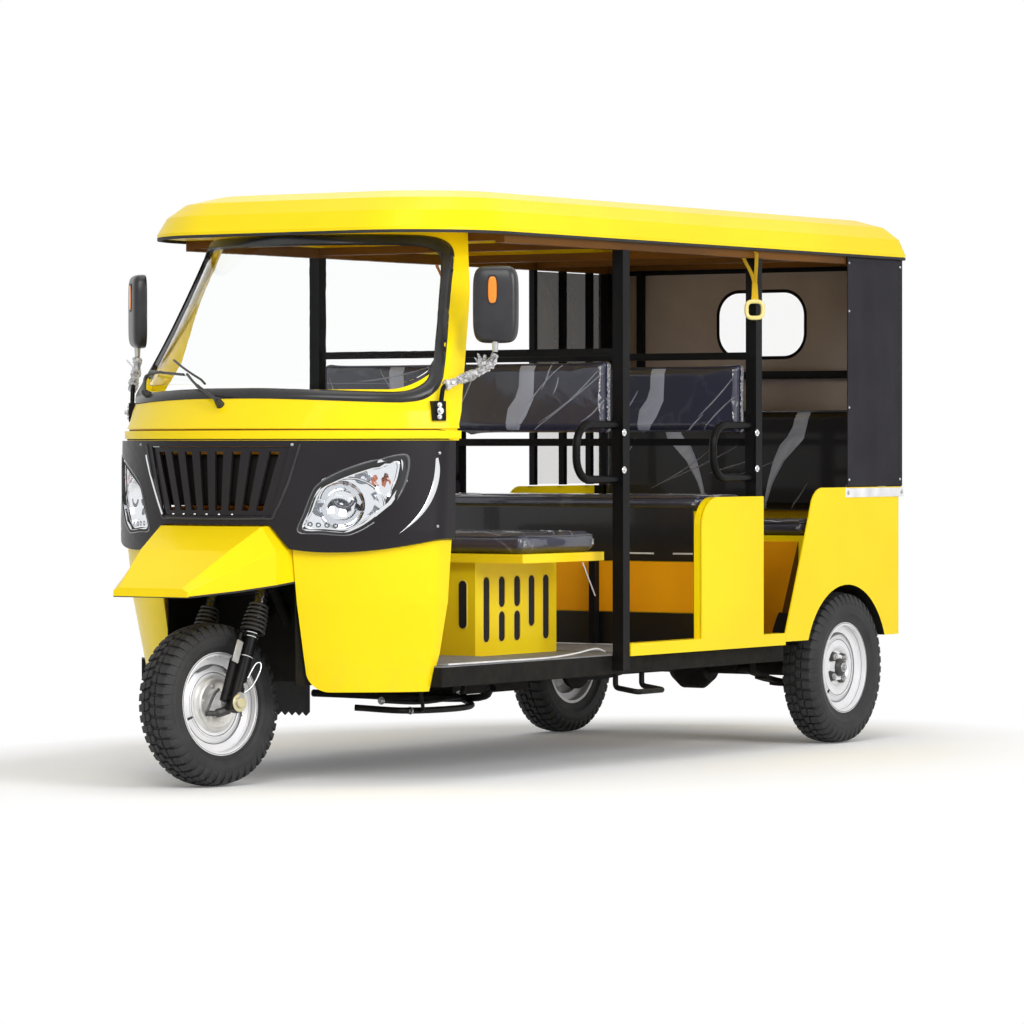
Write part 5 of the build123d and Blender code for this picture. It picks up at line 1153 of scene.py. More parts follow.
mould_rubber = grained("mould_rubber", (0.013, 0.013, 0.014), 0.26, 300, 0.1, 0.0004)
mould_outer, mould_inner = whole_loop(MOULD_OUTER), whole_loop(MOULD_INNER)
bm = bmesh.new()
front_band(bm, cowl_tree, mould_outer, mould_inner,
           [(-0.02, 0.0003), (0.03, 0.004), (0.14, 0.007), (0.34, 0.0085), (0.6, 0.008),
            (0.82, 0.0055), (0.95, 0.001), (1.0, -0.0076)])
moulding = settle("screen_moulding", bm, mould_rubber)
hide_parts("windscreen_gasket")
bm = bmesh.new()
front_band(bm, cowl_tree, mould_outer, mould_inner,
           [(-0.07, 0.0004), (-0.03, 0.0016), (0.02, 0.0012)])
screen_seal = settle("screen_seal_line", bm, rubber)
print("moulding", len(moulding.data.polygons), "faces")

# %% [markdown]
# Chrome on the mask: a crescent outside each headlamp, and a thin bent strip beside the
# grille. Small studs hold the mask's corners.

# %% Chrome trim and the grille's frame
CRESCENT_OUT = [(0.531, 0.768), (0.552, 0.789), (0.573, 0.817), (0.59, 0.853), (0.6, 0.893),
                (0.6045, 0.935), (0.605, 0.97), (0.602, 0.998)]
CRESCENT_IN = [(0.53, 0.7675), (0.548, 0.791), (0.566, 0.819), (0.581, 0.854), (0.591, 0.8935),
               (0.596, 0.9335), (0.598, 0.968), (0.598, 0.9965)]
FRAME_LINE = [(0.292, 1.04), (0.283, 1.01), (0.258, 0.925), (0.232, 0.862), (0.207, 0.814),
              (0.1, 0.812), (0.0, 0.812)]
STRIP_LINE = [(-0.29, 1.006), (-0.286, 0.992), (-0.268, 0.948), (-0.242, 0.894), (-0.222, 0.854),
              (-0.206, 0.824)]
for side, side_name in SIDES:
    bm = bmesh.new()
    front_band(bm, mask_tree, CRESCENT_OUT, CRESCENT_IN,
               [(0, 0.0004), (0.15, 0.0022), (0.85, 0.0022), (1, 0.0004)], side, closed=False)
    crescent = settle("chrome_crescent_" + side_name, bm, chrome)
    crescent_round = crescent.modifiers.new("rounder", "SUBSURF")
    crescent_round.levels = crescent_round.render_levels = 2

bm = bmesh.new()
strip = [front_place(mask_tree, x, z, 0.0025)[0] for x, z in even_points(STRIP_LINE, 0.012)]
tube(bm, smooth_path(strip, 3), 0.0036, 8)
settle("chrome_strip", bm, chrome)
bm = bmesh.new()
for side in (1, -1):
    bead = [front_place(mask_tree, side * x, z, 0.0006)[0]
            for x, z in even_points(FRAME_LINE, 0.03)]
    tube(bm, smooth_path(bead, 3), 0.0042, 8)
settle("grille_frame_bead", bm, satin_plastic)
bm = bmesh.new()
for x, z in ((-0.329, 1.038), (0.269, 1.038), (0.604, 1.012), (-0.604, 1.012), (0.604, 0.79),
             (-0.604, 0.79)):
    place, normal = front_place(mask_tree, x, z)
    hexagon(bm, place, normal, 0.005, 0.004)
settle("mask_studs", bm, steel, bevel=0.0006)
print("chrome trim on the mask")

# %% [markdown]
# Behind the grille the nose has a yellow inner panel in shade, painted darker and more orange as
# painted shade, with a black plate across its middle that paints the deeper shade there, and each
# slat has a bright clip at its foot.

# %% Behind the grille
NOSE_BOW = 0.716  # radius of the nose's front, from above
NOSE_FRONT = -1.493


def nose_row(z, depth, half):
    """Points across the inside of the nose at one height, from the left to the right."""
    row = []
    for i in range(25):
        x = half - 2 * half * i / 24
        bow = NOSE_BOW - math.sqrt(NOSE_BOW ** 2 - x * x)
        row.append((x, NOSE_FRONT + depth + bow, z))
    return row


# the inner panel wears the painted-shade yellow
bm = bmesh.new()
PANEL_HEIGHTS = (1.046, 1.0, 0.95, 0.9, 0.868)
for depth, heights in ((0.046, PANEL_HEIGHTS), (0.049, reversed(PANEL_HEIGHTS))):
    skin(bm, [ring_of(bm, nose_row(z, depth, 0.275)) for z in heights], closed=False)
inner_panel = settle("inner_nose_panel", bm, painted_shade_inner_yellow)
# painted shade: a black plate across the middle of the nose's inside paints the deeper shade there
bm = bmesh.new()
rows = [(1.008, 0.044), (1.004, 0.03), (0.995, 0.026), (0.93, 0.024), (0.868, 0.026),
        (0.858, 0.03), (0.852, 0.04)]
skin(bm, [ring_of(bm, nose_row(z, depth, 0.262)) for z, depth in rows], closed=False)
settle("nose_shade_plate", bm, frame_black)
print("inner panel and cover")

# %% Clips and grooves
bm = bmesh.new()
for i in range(6):
    x = -0.1645 + 0.047 * i + 0.003
    place, normal = front_place(mask_tree, x, 0.826)
    size = Matrix.Diagonal((0.0042, 0.002, 0.003, 1))
    bmesh.ops.create_uvsphere(bm, u_segments=10, v_segments=8, radius=1.0,
                              matrix=Matrix.Translation(place + normal * 0.001) @ size)
settle("grille_clips", bm, chrome)
# painted shade: a thin dark-brown tube along each groove line paints the shadow inside the groove
bm = bmesh.new()
for groove_z in (1.083, 1.054):
    tube(bm, [front_place(cowl_tree, 0.604 - 1.208 * i / 60, groove_z, 0.0)[0] for i in range(61)],
         0.0017, 6)
settle("cowl_grooves", bm, finish("painted_groove_shade", (0.1, 0.06, 0.01), 0.6))
print("clips and grooves")

# %% [markdown]
# ## Headlamps
# Each lamp lies in a dark gap with a thin grey rim. Under the clear lens are a bright ring
# round the main reflector, a bulb shield, small round facets along the foot and an amber bulb
# in the upper corner.

# %% Headlamp trim and insides
LENS_LINE = [(0.301, 0.786), (0.318, 0.838), (0.333, 0.882), (0.349, 0.907), (0.38, 0.926),
             (0.42, 0.946), (0.475, 0.969), (0.522, 0.986), (0.534, 0.982), (0.5335, 0.955),
             (0.526, 0.915), (0.507, 0.872), (0.482, 0.833), (0.456, 0.806), (0.43, 0.787),
             (0.405, 0.777), (0.355, 0.781)]
RIM_LINE = [(0.282, 0.774), (0.299, 0.829), (0.317, 0.88), (0.333, 0.912), (0.364, 0.938),
            (0.41, 0.964), (0.47, 0.989), (0.528, 1.006), (0.549, 1.0), (0.551, 0.955),
            (0.542, 0.903), (0.522, 0.859), (0.492, 0.818), (0.462, 0.789), (0.432, 0.77),
            (0.405, 0.763), (0.345, 0.768)]
rim_grey = finish("lamp_rim_grey", (0.1, 0.1, 0.11), 0.25, coat=0.5)
reflector = grained("lamp_reflector", (0.86, 0.88, 0.9), 0.14, 46, 0.45, 0.004, 0.85)
# painted shade: a dark copy of the bright reflector for facets that look grey
painted_shade_reflector = grained("painted_shade_reflector", (0.2, 0.21, 0.23), 0.25, 60, 0.5, 0.004, 0.8)
bulb_amber = finish("bulb_amber", (0.42, 0.13, 0.07), 0.2, coat=0.6)
MASK_FOOT, MASK_CREST = 0.72, 1.047


def skin_place(x, z, inset):
    """A place inset from the mask's smooth skin, where the lamp's pocket is cut out of it."""
    share = (z - MASK_FOOT) / (MASK_CREST - MASK_FOOT)
    low, low_normal = front_place(mask_tree, x, MASK_FOOT)
    high, high_normal = front_place(mask_tree, x, MASK_CREST)
    normal = low_normal.lerp(high_normal, share).normalized()
    return low.lerp(high, share) - normal * inset


def lamp_band(bm, side, outer, inner, profile):
    skin(bm, [ring_of(bm, [skin_place(x, z, inset) for x, z in part_way(outer, inner, share, side)])
              for share, inset in profile])
    face_out(bm, side)


def round_facet(bm, side, x, z, radius, inset, dome):
    """A little domed disc seen from the front."""
    rings = []
    for share, lift in ((1.0, 0.0), (0.8, dome * 0.6), (0.45, dome), (0.12, dome)):
        rings.append(ring_of(bm, [skin_place(side * (x + radius * share * math.cos(a)),
                                             z + radius * share * math.sin(a), inset - lift)
                                  for a in around(16)]))
    skin(bm, rings)
    bm.faces.new(rings[-1])
    face_out(bm, side)


def arc_band(bm, side, centre, inner, outer, first, last, inset, lift, steps=28):
    """Part of a ring: two edges with a raised back between them."""
    profile = ((inner, 0.0), ((inner * 2 + outer) / 3, lift), ((inner + outer * 2) / 3, lift),
               (outer, 0.0))
    rings = []
    for i in range(steps + 1):
        angle = math.radians(first + (last - first) * i / steps)
        rings.append(ring_of(bm, [skin_place(side * (centre[0] + radius * math.cos(angle)),
                                             centre[1] + radius * math.sin(angle), inset - height)
                                  for radius, height in profile]))
    skin(bm, rings, closed=False)
    face_out(bm, side)


print("lamp helpers ready")

# %% Dress both lamps
BED = 0.0147  # the reflector's depth behind the mask's skin
outer_rim = rounded(RIM_LINE, 4)
inner_rim = rounded(LENS_LINE, 4)
for side, side_name in SIDES:
    bm = bmesh.new()
    lamp_band(bm, side, outer_rim, inner_rim,
              [(-0.1, 0.0), (0.02, -0.0022), (0.16, -0.0012), (0.24, 0.002)])
    settle("lamp_rim_" + side_name, bm, rim_grey)
    bm = bmesh.new()
    lamp_band(bm, side, outer_rim, inner_rim,
              [(0.2, -0.0004), (0.55, -0.0002), (0.98, 0.004), (1.05, 0.0108)])
    settle("lamp_gap_" + side_name, bm, rubber)
    bm = bmesh.new()
    tight = [(x + (0.425 - x) * 0.045, z + (0.872 - z) * 0.055) for x, z in inner_rim]
    lamp_band(bm, side, inner_rim, tight,
              [(0.0, 0.0105), (0.3, 0.0092), (0.9, 0.0094), (1.25, 0.0106)])
    settle("lamp_edge_" + side_name, bm, chrome)
    bm = bmesh.new()
    arc_band(bm, side, (0.418, 0.858), 0.0745, 0.083, -98, 168, BED, 0.0045, 60)
    settle("lamp_ring_" + side_name, bm, chrome)
    # the facets and dots wear the darker reflector copy, as painted shade
    bm = bmesh.new()
    arc_band(bm, side, (0.405, 0.873), 0.018, 0.03, 190, 352, BED, 0.003)
    arc_band(bm, side, (0.43, 0.862), 0.046, 0.066, -48, 34, BED, 0.002)
    arc_band(bm, side, (0.345, 0.845), 0.004, 0.026, 60, 290, BED, 0.002)
    arc_band(bm, side, (0.452, 0.938), 0.004, 0.021, 0, 359, BED, 0.002)
    settle("lamp_facets_" + side_name, bm, painted_shade_reflector)
    bm = bmesh.new()
    for x, z in ((0.315, 0.797), (0.338, 0.795), (0.361, 0.794), (0.384, 0.792)):
        arc_band(bm, side, (x, z), 0.0035, 0.0078, 0, 359, BED, 0.0016, 16)
    arc_band(bm, side, (0.409, 0.789), 0.005, 0.0085, 10, 120, BED, 0.0016, 10)
    settle("lamp_dots_" + side_name, bm, painted_shade_reflector)
    bm = bmesh.new()
    round_facet(bm, side, 0.492, 0.93, 0.0215, 0.0145, 0.003)
    settle("lamp_amber_bed_" + side_name, bm, bulb_amber)
    bm = bmesh.new()
    round_facet(bm, side, 0.5, 0.938, 0.0085, 0.0118, 0.0022)
    settle("lamp_amber_bulb_" + side_name, bm,
           finish("bulb_dark_" + side_name, (0.11, 0.03, 0.02), 0.2, coat=0.5))
print("headlamps dressed")

# %% [markdown]
# ## Mirrors and wipers
# The mirror heads are moulded shells with softly crowned backs, an amber reflector on the
# back and silvered glass on the side that faces the driver. Their stalks are still wrapped in
# crumpled clear film from the factory. The wipers are thin pressed arms with rubber blades.

# %% Mirror heads
MIRROR_X, MIRROR_Y, MIRROR_LOW, MIRROR_HIGH = 0.69, -0.97, 1.346, 1.584
MIRROR_TURNS = {1: 22, -1: -42}
mirror_shell = grained("mirror_shell", (0.016, 0.016, 0.018), 0.3, 240, 0.15, 0.0005)


def mirror_frame(side):
    """X across the head, Y from its back to its glass, Z up."""
    turn = Matrix.Rotation(math.radians(MIRROR_TURNS[side]), 4, "Z")
    return Matrix.Translation((side * MIRROR_X, MIRROR_Y, (MIRROR_LOW + MIRROR_HIGH) / 2)) @ turn


def superellipse(half_width, half_height, power, count=48):
    points = []
    for a in around(count):
        c, s = math.cos(a), math.sin(a)
        points.append((half_width * math.copysign(abs(c) ** (2 / power), c),
                       half_height * math.copysign(abs(s) ** (2 / power), s)))
    return points


HEAD_STEPS = ((0.9, 0.0195), (0.985, 0.0205), (1.0, 0.018), (1.0, 0.006), (0.985, -0.004),
              (0.93, -0.0145), (0.8, -0.0205), (0.5, -0.0226), (0.18, -0.0228))
GLASS_STEPS = ((0.93, 0.0196), (0.9, 0.0172), (0.6, 0.0168), (0.2, 0.0168))
REFLECTOR_STEPS = ((1.0, -0.0205), (1.0, -0.0236), (0.88, -0.0254), (0.5, -0.0262),
                   (0.15, -0.0262))
RIM_STEPS = ((1.34, -0.0218), (1.26, -0.0242), (1.08, -0.0242), (1.0, -0.0225))


def stepped(name, matrix, middle, outline, steps, upright, material, capped=True,
            turned=True, levels=0):
    """Outlines grown by each step's share and stacked by its depth; upright says how much of
    that growth the height takes."""
    bm = bmesh.new()
    rings = []
    for grow, depth in steps:
        tall = 1 - (1 - grow) * upright
        rings.append(ring_of(bm, [matrix @ (middle + Vector((u * grow, depth, v * tall)))
                                  for u, v in outline]))
    skin(bm, rings)
    if capped:
        bm.faces.new(rings[-1])
    if turned:
        bmesh.ops.recalc_face_normals(bm, faces=bm.faces)
    return settle(name, bm, material, levels=levels)


centre = Vector((0, 0, 0))
head_outline = superellipse(0.0705, (MIRROR_HIGH - MIRROR_LOW) / 2 - 0.0005, 5.0)
pill = superellipse(0.0135, 0.0405, 3.2, 32)
for side, side_name in SIDES:
    matrix = mirror_frame(side)
    middle = Vector((-0.004 * side, 0, 0.044))
    head = stepped("mirror_shell_" + side_name, matrix, centre, head_outline, HEAD_STEPS,
                   0.75, mirror_shell, levels=1)
    stepped("mirror_glass_" + side_name, matrix, centre, head_outline, GLASS_STEPS, 1.0,
            mirror_glass, turned=False)
    stepped("mirror_reflector_" + side_name, matrix, middle, pill, REFLECTOR_STEPS, 0.4,
            amber_plastic)
    stepped("mirror_reflector_frame_" + side_name, matrix, middle, pill, RIM_STEPS, 0.4,
            rubber, capped=False, turned=False)
    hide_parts("mirror_heads")
print("mirror heads")

# %% Wrapped stalks
wrap_film = finish("wrap_film", (0.62, 0.62, 0.63), 0.22, coat=1.0, alpha=0.9)
wrap_tree = wrap_film.node_tree
set_from(wrap_film, "Base Color",
         blend_colours(wrap_tree, spread(wrap_tree, cloud(wrap_tree, 55, 4, 1.2), 0.38, 0.62),
                       (0.24, 0.235, 0.24), (0.86, 0.86, 0.88)))
set_from(wrap_film, "Alpha", spread(wrap_tree, cloud(wrap_tree, 30, 3, 0.8), 0.35, 0.6, 1.0, 0.55))
raise_surface(wrap_film, crumpled(wrap_tree, 34), 0.8, 0.01)


def wrapped(name, route, radius, seed):
    """A bar wound in film: its rings bulge, and every point of them by chance."""
    chance = random.Random(seed)
    path = smooth_path(route, 10)
    bm = bmesh.new()
    rings = []
    across = None
    for i, point in enumerate(path):
        run = (path[min(i + 1, len(path) - 1)] - path[max(i - 1, 0)]).normalized()
        across = across - run * across.dot(run) if across else run.orthogonal()
        across.normalize()
        other = run.cross(across)
        share = i / (len(path) - 1)
        bulge = radius * (0.75 + 0.35 * math.sin(share * 9.0 + seed) ** 2)
        rings.append(ring_of(bm, [point + bulge * (0.8 + 0.38 * chance.random())
                                  * (math.cos(a) * across + math.sin(a) * other)
                                  for a in around(14)]))
    skin(bm, rings)
    wrap = settle(name, bm, wrap_film, smooth=False)


STALK = [(0.598, -1.112, 1.216), (0.612, -1.092, 1.224), (0.64, -1.05, 1.243),
         (0.666, -1.01, 1.262), (0.682, -0.984, 1.285), (MIRROR_X, MIRROR_Y, 1.312)]
for side, side_name in SIDES:
    wrapped("stalk_wrap_" + side_name, [(side * x, y, z) for x, y, z in STALK], 0.0145, 3 + side)
    bm = bmesh.new()
    base = Vector((side * 0.668, -1.008, 1.268))
    for k, (du, dv) in enumerate(((-0.03, 0.036), (-0.012, 0.048), (0.02, 0.044))):
        tip = base + Vector((side * du, -0.01 * k, dv))
        bm.faces.new(ring_of(bm, [base + Vector((side * -0.012, 0, 0.004)),
                                  base + Vector((side * 0.012, 0.004, 0.012)),
                                  tip + Vector((side * 0.006, 0.004, -0.004)), tip]))
    flaps = settle("stalk_wrap_ends_" + side_name, bm, wrap_film, smooth=False)
    bm = bmesh.new()
    tube(bm, [(side * MIRROR_X, MIRROR_Y, z) for z in (1.32, 1.352)], [0.0085, 0.0105], 16)
    bracket = Vector((side * 0.583, -1.125, 1.14))
    outward = Vector((side * math.sin(math.radians(60)), -math.cos(math.radians(60)), 0))
    for dz in (-0.018, 0.018):
        hexagon(bm, bracket + outward * 0.014 + Vector((0, 0, dz)), outward, 0.0085, 0.007)
    hexagon(bm, bracket + outward * 0.018, outward, 0.012, 0.012)
    settle("mirror_bolts_" + side_name, bm, steel, bevel=0.0005)
print("stalks wrapped")

# %% Wipers
def wiper(name, pivot, elbow, tip, blade_from, blade_to):
    """Pivot, elbow and tip as (x, z) on the nose; the blade lies on the glass."""
    def spot(point, lift):
        return front_place(cowl_tree, point[0], point[1], lift)[0]

    bm = bmesh.new()
    place, normal = front_place(cowl_tree, *pivot)
    cone(bm, place + normal * 0.013, facing(normal), 0.0135, 0.01, 0.026, 20)
    hexagon(bm, place + normal * 0.026, normal, 0.007, 0.005)
    tube(bm, smooth_path([spot(pivot, 0.022), spot(elbow, 0.026), spot(tip, 0.017)], 8),
         [0.0058] * 9 + [0.0042] * 8, 8)
    line = [tuple(a + (b - a) * i / 10 for a, b in zip(blade_from, blade_to)) for i in range(11)]
    run = [spot(point, 0.01) for point in line]
    tube(bm, run, 0.0038, 6)
    rows = [ring_of(bm, [p + (q - p) * 0.15, q])
            for p, q in zip(run, [spot(point, -0.001) for point in line])]
    skin(bm, rows, closed=False)
    settle(name, bm, satin_plastic)


wiper("wiper_left", (-0.01, 1.158), (-0.115, 1.205), (-0.19, 1.243), (-0.3, 1.292), (-0.105, 1.222))
wiper("wiper_right", (-0.4, 1.19), (-0.42, 1.236), (-0.345, 1.252), (-0.468, 1.262),
      (-0.215, 1.246))
print("wipers fitted")

# %% [markdown]
# ## Wheels and fork
# Each wheel gets rolled rings pressed into its disc, a raised drum or hub with nuts, and a
# valve. The dark crescents are the shaded recesses beside the drum. On the fork there are
# chrome collars, a damper beside each leg, the brake's rod and the axle's nuts.

# %% Wheel trim
dark_metal = grained("dark_metal", (0.035, 0.034, 0.032), 0.35, 90, 0.2, 0.0006)
shade_grey = finish("shade_grey", (0.13, 0.13, 0.135), 0.5)
alu_cast = grained("alu_cast", (0.62, 0.61, 0.58), 0.28, 110, 0.25, 0.0008, 0.6)
zinc = finish("yellow_zinc", (0.66, 0.6, 0.36), 0.3, metallic=0.7)

BEADS = ((0.0492, 0.1685, 0.0026), (0.0495, 0.148, 0.0018), (0.0255, 0.144, 0.0022),
         (0.022, 0.1005, 0.003), (0.024, 0.074, 0.0024))
GROOVES = ((0.05, 0.1535, 0.001), (0.0345, 0.1462, 0.001), (0.0182, 0.1205, 0.0013),
           (0.0227, 0.0965, 0.0009))
VALVE_ANGLE = math.radians(222)


def hoop(bm, matrix, along, out, radius, segments=96, sides=8):
    """A round bead that runs round a wheel."""
    lathe(bm, [(along + radius * math.cos(a), out + radius * math.sin(a)) for a in around(sides)],
          matrix, segments, closed=True)


def sector(bm, matrix, first, last, inner, outer, lift_in, lift_out, steps=24):
    """A crescent on a wheel's face, pointed at both ends."""
    rows = []
    for i in range(steps + 1):
        angle = math.radians(first + (last - first) * i / steps)
        swell = math.sin(math.pi * i / steps) ** 0.6
        low = outer - (outer - inner) * swell
        rows.append(ring_of(bm, [on_wheel(matrix, along, out, angle)
                                 for along, out in ((lift_out, outer), (lift_in, low))]))
    skin(bm, rows, closed=False)


def wheel_trim(name, body, matrix, face, crescents):
    for part, hoops, material in (("_beads", BEADS, wheel_silver),
                                  ("_grooves", GROOVES, shade_grey)):
        bm = bmesh.new()
        for along, out, radius in hoops:
            hoop(bm, matrix, face * along, out, radius)
        settle(name + part, bm, material, body)
    if crescents:
        bm = bmesh.new()
        for first, last, inner, outer in crescents:
            sector(bm, matrix, first, last, inner, outer, face * 0.0236, face * 0.0178)
        settle(name + "_recesses", bm, shade_grey, body)
    bm = bmesh.new()
    valve = [on_wheel(matrix, face * along, out, VALVE_ANGLE)
             for along, out in ((0.03, 0.14), (0.034, 0.128), (0.036, 0.112))]
    tube(bm, valve, [0.0048, 0.0042, 0.0034], 10)
    settle(name + "_valve", bm, rubber, body)


print("wheel helpers ready")

# %% Front wheel
wheel_trim("front_wheel", "front_road_wheel", front_frame, 1,
           [(4, 92, 0.098, 0.122), (112, 148, 0.11, 0.12)])
wheel_trim("front_wheel_far", "front_road_wheel", front_frame, -1, [])
bm = bmesh.new()
lathe(bm, [(0.034, 0.039), (0.0385, 0.041), (0.0405, 0.047), (0.0405, 0.07), (0.037, 0.0755),
           (0.03, 0.0785), (0.024, 0.0865)], front_frame)
for k in range(6):
    place = on_wheel(front_frame, 0.0405, 0.058, math.radians(60 * k + 12))
    hexagon(bm, place, FRONT_SPIN, 0.0095, 0.004)
settle("front_drum_cover", bm, alu_cast, "front_road_wheel")
print("front wheel trimmed")

# %% Rear wheels
LOBE_CIRCLE = 0.047
LOBE_ANGLES = [math.radians(90 * k + 38) for k in range(4)]
PLATE_LINE = ((0.0145, 0.09), (0.0185, 0.086), (0.0185, 0.066), (0.0155, 0.062))
CAP_LINE = ((0.014, 0.034), (0.03, 0.032), (0.041, 0.027), (0.045, 0.02), (0.046, 0.0))
for side_name, matrix in rear_frames.items():
    face = 1 if side_name == "left" else -1
    body = "rear_%s_road_wheel" % side_name
    wheel_trim("rear_wheel_" + side_name, body, matrix, face, [(70, 150, 0.112, 0.121)])
    bm = bmesh.new()
    lathe(bm, [(face * along, out) for along, out in PLATE_LINE], matrix)
    settle("rear_hub_plate_" + side_name, bm, alu_cast, body)
    bm = bmesh.new()
    lathe(bm, [(face * along, out) for along, out in CAP_LINE], matrix, 48)
    outward = Matrix.Rotation(math.radians(90 * face), 4, "Y")
    for angle in LOBE_ANGLES:
        cone(bm, on_wheel(matrix, face * 0.02, LOBE_CIRCLE, angle), outward,
             0.0195, 0.0165, 0.016, 24)
    settle("rear_hub_lobes_" + side_name, bm, dark_metal, body, bevel=0.001)
    bm = bmesh.new()
    for angle in LOBE_ANGLES:
        hexagon(bm, on_wheel(matrix, face * 0.028, LOBE_CIRCLE, angle), (face, 0, 0),
                0.012, 0.009)
    hexagon(bm, matrix @ Vector((face * 0.045, 0, 0)), (face, 0, 0), 0.018, 0.01)
    settle("rear_wheel_nuts_" + side_name, bm, steel, body, bevel=0.0005)
print("rear wheels trimmed")

# %% Fork legs and dampers
fork_back = STEER_AXIS.cross(FRONT_SPIN).normalized()
fork_turn = Matrix((FRONT_SPIN, fork_back, STEER_AXIS)).transposed()


def fork_point(across, behind, along):
    """A place in the steering frame, from the hub: across, behind the leg and up along it."""
    return FRONT_HUB + FRONT_SPIN * across + fork_back * behind + STEER_AXIS * along


for side, side_name in SIDES:
    x = side * 0.108
    bm = bmesh.new()
    for along, radius in ((0.226, 0.0245), (0.214, 0.0235), (0.15, 0.0232)):
        collar = hub_frame(fork_point(x, 0, along), STEER_AXIS, FRONT_SPIN)
        hoop(bm, collar, 0, radius - 0.002, 0.0028, 32)
    tube(bm, [fork_point(x, 0, 0.235), fork_point(x, 0, 0.345)], 0.0156, 20, caps=False)
    settle("fork_collars_" + side_name, bm, chrome, "steering")
    bm = bmesh.new()
    for k, radius in enumerate((0.036, 0.035, 0.034, 0.033, 0.031, 0.029, 0.027)):
        collar = hub_frame(fork_point(x, 0, 0.236 + 0.0135 * k), STEER_AXIS, FRONT_SPIN)
        hoop(bm, collar, 0, radius, 0.0042, 40)
    settle("fork_boot_" + side_name, bm, dark_metal, "steering")
    bm = bmesh.new()
    inward = x - side * 0.006
    tube(bm, [fork_point(inward, -0.036, -0.006), fork_point(inward, -0.038, 0.13)], 0.0125, 14)
    tube(bm, [fork_point(inward, -0.038, 0.13), fork_point(x - side * 0.004, -0.04, 0.215)],
         0.0075, 12)
    for along in (0.006, 0.128):
        slab(bm, fork_point(x - side * 0.003, -0.02, along), (0.022, 0.04, 0.01), fork_turn)
    settle("fork_damper_" + side_name, bm, tube_black, "steering", bevel=0.001)
    bm = bmesh.new()
    slab(bm, fork_point(x + side * 0.01, -0.046, 0.15), (0.004, 0.026, 0.07), fork_turn)
    hexagon(bm, fork_point(x + side * 0.022, 0, 0.018), FRONT_SPIN * side, 0.018, 0.008)
    hexagon(bm, fork_point(x + side * 0.02, 0.004, 0.06), FRONT_SPIN * side, 0.01, 0.005)
    settle("fork_bracket_" + side_name, bm, steel, "steering", bevel=0.0006)
    bm = bmesh.new()
    hexagon(bm, FRONT_HUB + FRONT_SPIN * side * 0.1335, FRONT_SPIN * side, 0.03, 0.01)
    settle("front_axle_nut_" + side_name, bm, zinc, "steering", bevel=0.0008)
print("fork legs dressed")

# %% Brake rod and lever
def fork_bar(bm, places, radius, sides):
    tube(bm, smooth_path([fork_point(*place) for place in places], 6), radius, sides)


bm = bmesh.new()
fork_bar(bm, [(0.12, 0.01, 0.03), (0.124, 0.04, 0.07), (0.124, 0.056, 0.125),
              (0.122, 0.052, 0.15), (0.118, 0.036, 0.14), (0.116, 0.022, 0.09)], 0.0027, 8)
settle("brake_rod", bm, steel, "steering")
bm = bmesh.new()
fork_bar(bm, [(0.094, 0.0, -0.02), (0.078, -0.028, -0.042), (0.07, -0.062, -0.056)],
         [0.014] * 7 + [0.009] * 6, 10)
fork_bar(bm, [(0.07, -0.062, -0.056), (0.074, -0.055, 0.005), (0.08, -0.046, 0.03)], 0.0045, 8)
settle("brake_lever", bm, dark_metal, "steering")
print("brake rod and lever")

# %% [markdown]
# The mudguard and wheel arches have dark edges: a rubber lip under the mudguard, and black
# undercoat on the inner faces of the arches. The mudguard is fixed to the nose and doesn't
# steer, so its lip stays with the chassis.

# %% Dark edges
MUDGUARD_TIP_Y = -1.7915  # the lip stops just short of the mudguard's point


def lower_edges(node_name):
    """Edges between a wall and the underside that it turns into."""
    bm = bmesh.new()
    bm.from_mesh(nodes[node_name].data)
    bmesh.ops.remove_doubles(bm, verts=bm.verts, dist=0.0001)
    bm.normal_update()
    found = []
    for edge in bm.edges:
        if len(edge.link_faces) == 2:
            slopes = sorted(face.normal.z for face in edge.link_faces)
            if slopes[0] < -0.5 and -0.35 < slopes[1] < 0.6:
                found.append((edge.verts[0].co.copy(), edge.verts[1].co.copy()))
    bm.free()
    return found


bm = bmesh.new()
for a, b in lower_edges("front_mudguard"):
    if (b - a).length > 0.0005:
        tube(bm, [Vector((p.x, max(p.y, MUDGUARD_TIP_Y), p.z)) for p in (a, b)], 0.0032, 6)
lip = settle("mudguard_lip", bm, rubber)
print("mudguard lip", len(lip.data.polygons), "faces")

panel = nodes["quarter_panels"].data
panel.materials.append(frame_black)
for face in panel.polygons:
    reach = math.hypot(face.center.y - REAR_AXLE_Y, face.center.z - REAR_RADIUS)
    inside = abs(face.normal.x) > 0.7 and face.normal.x * face.center.x < 0
    if face.center.z < 0.66 and (0.27 < reach < 0.36 and abs(face.normal.x) < 0.7 or inside):
        face.material_index = 1
print("arches undercoated")

# %% [markdown]
# ## Cab
# Inside the cab: the black board and the panel under the middle seat, which is yellow painted
# orange as painted shade, wide slots in the engine box whose dark holes and pale rims are painted
# shade and painted highlight, grey mats on the floor, bolts on the hand rails, a light metal strip
# under the side curtain, and pipes under the floor. Boards are plain plates with softened edges.

# %% Boards
# painted shade: the yellow bench fronts are painted orange for the shade they lie in
shade_orange = dusty_paint("shade_orange", (0.95, 0.4, 0.004), (0.88, 0.33, 0.004), 0.4, 0.1, 0.5,
                           0.1, 0.2)
kick_black = finish("kick_black", (0.004, 0.004, 0.006), 0.32, coat=0.3)
light_alloy = grained("light_alloy", (0.72, 0.72, 0.74), 0.3, 120, 0.1, 0.0005, 0.3)
mat_grey = grained("mat_grey", (0.19, 0.195, 0.2), 0.6, 90, 0.3, 0.0008)
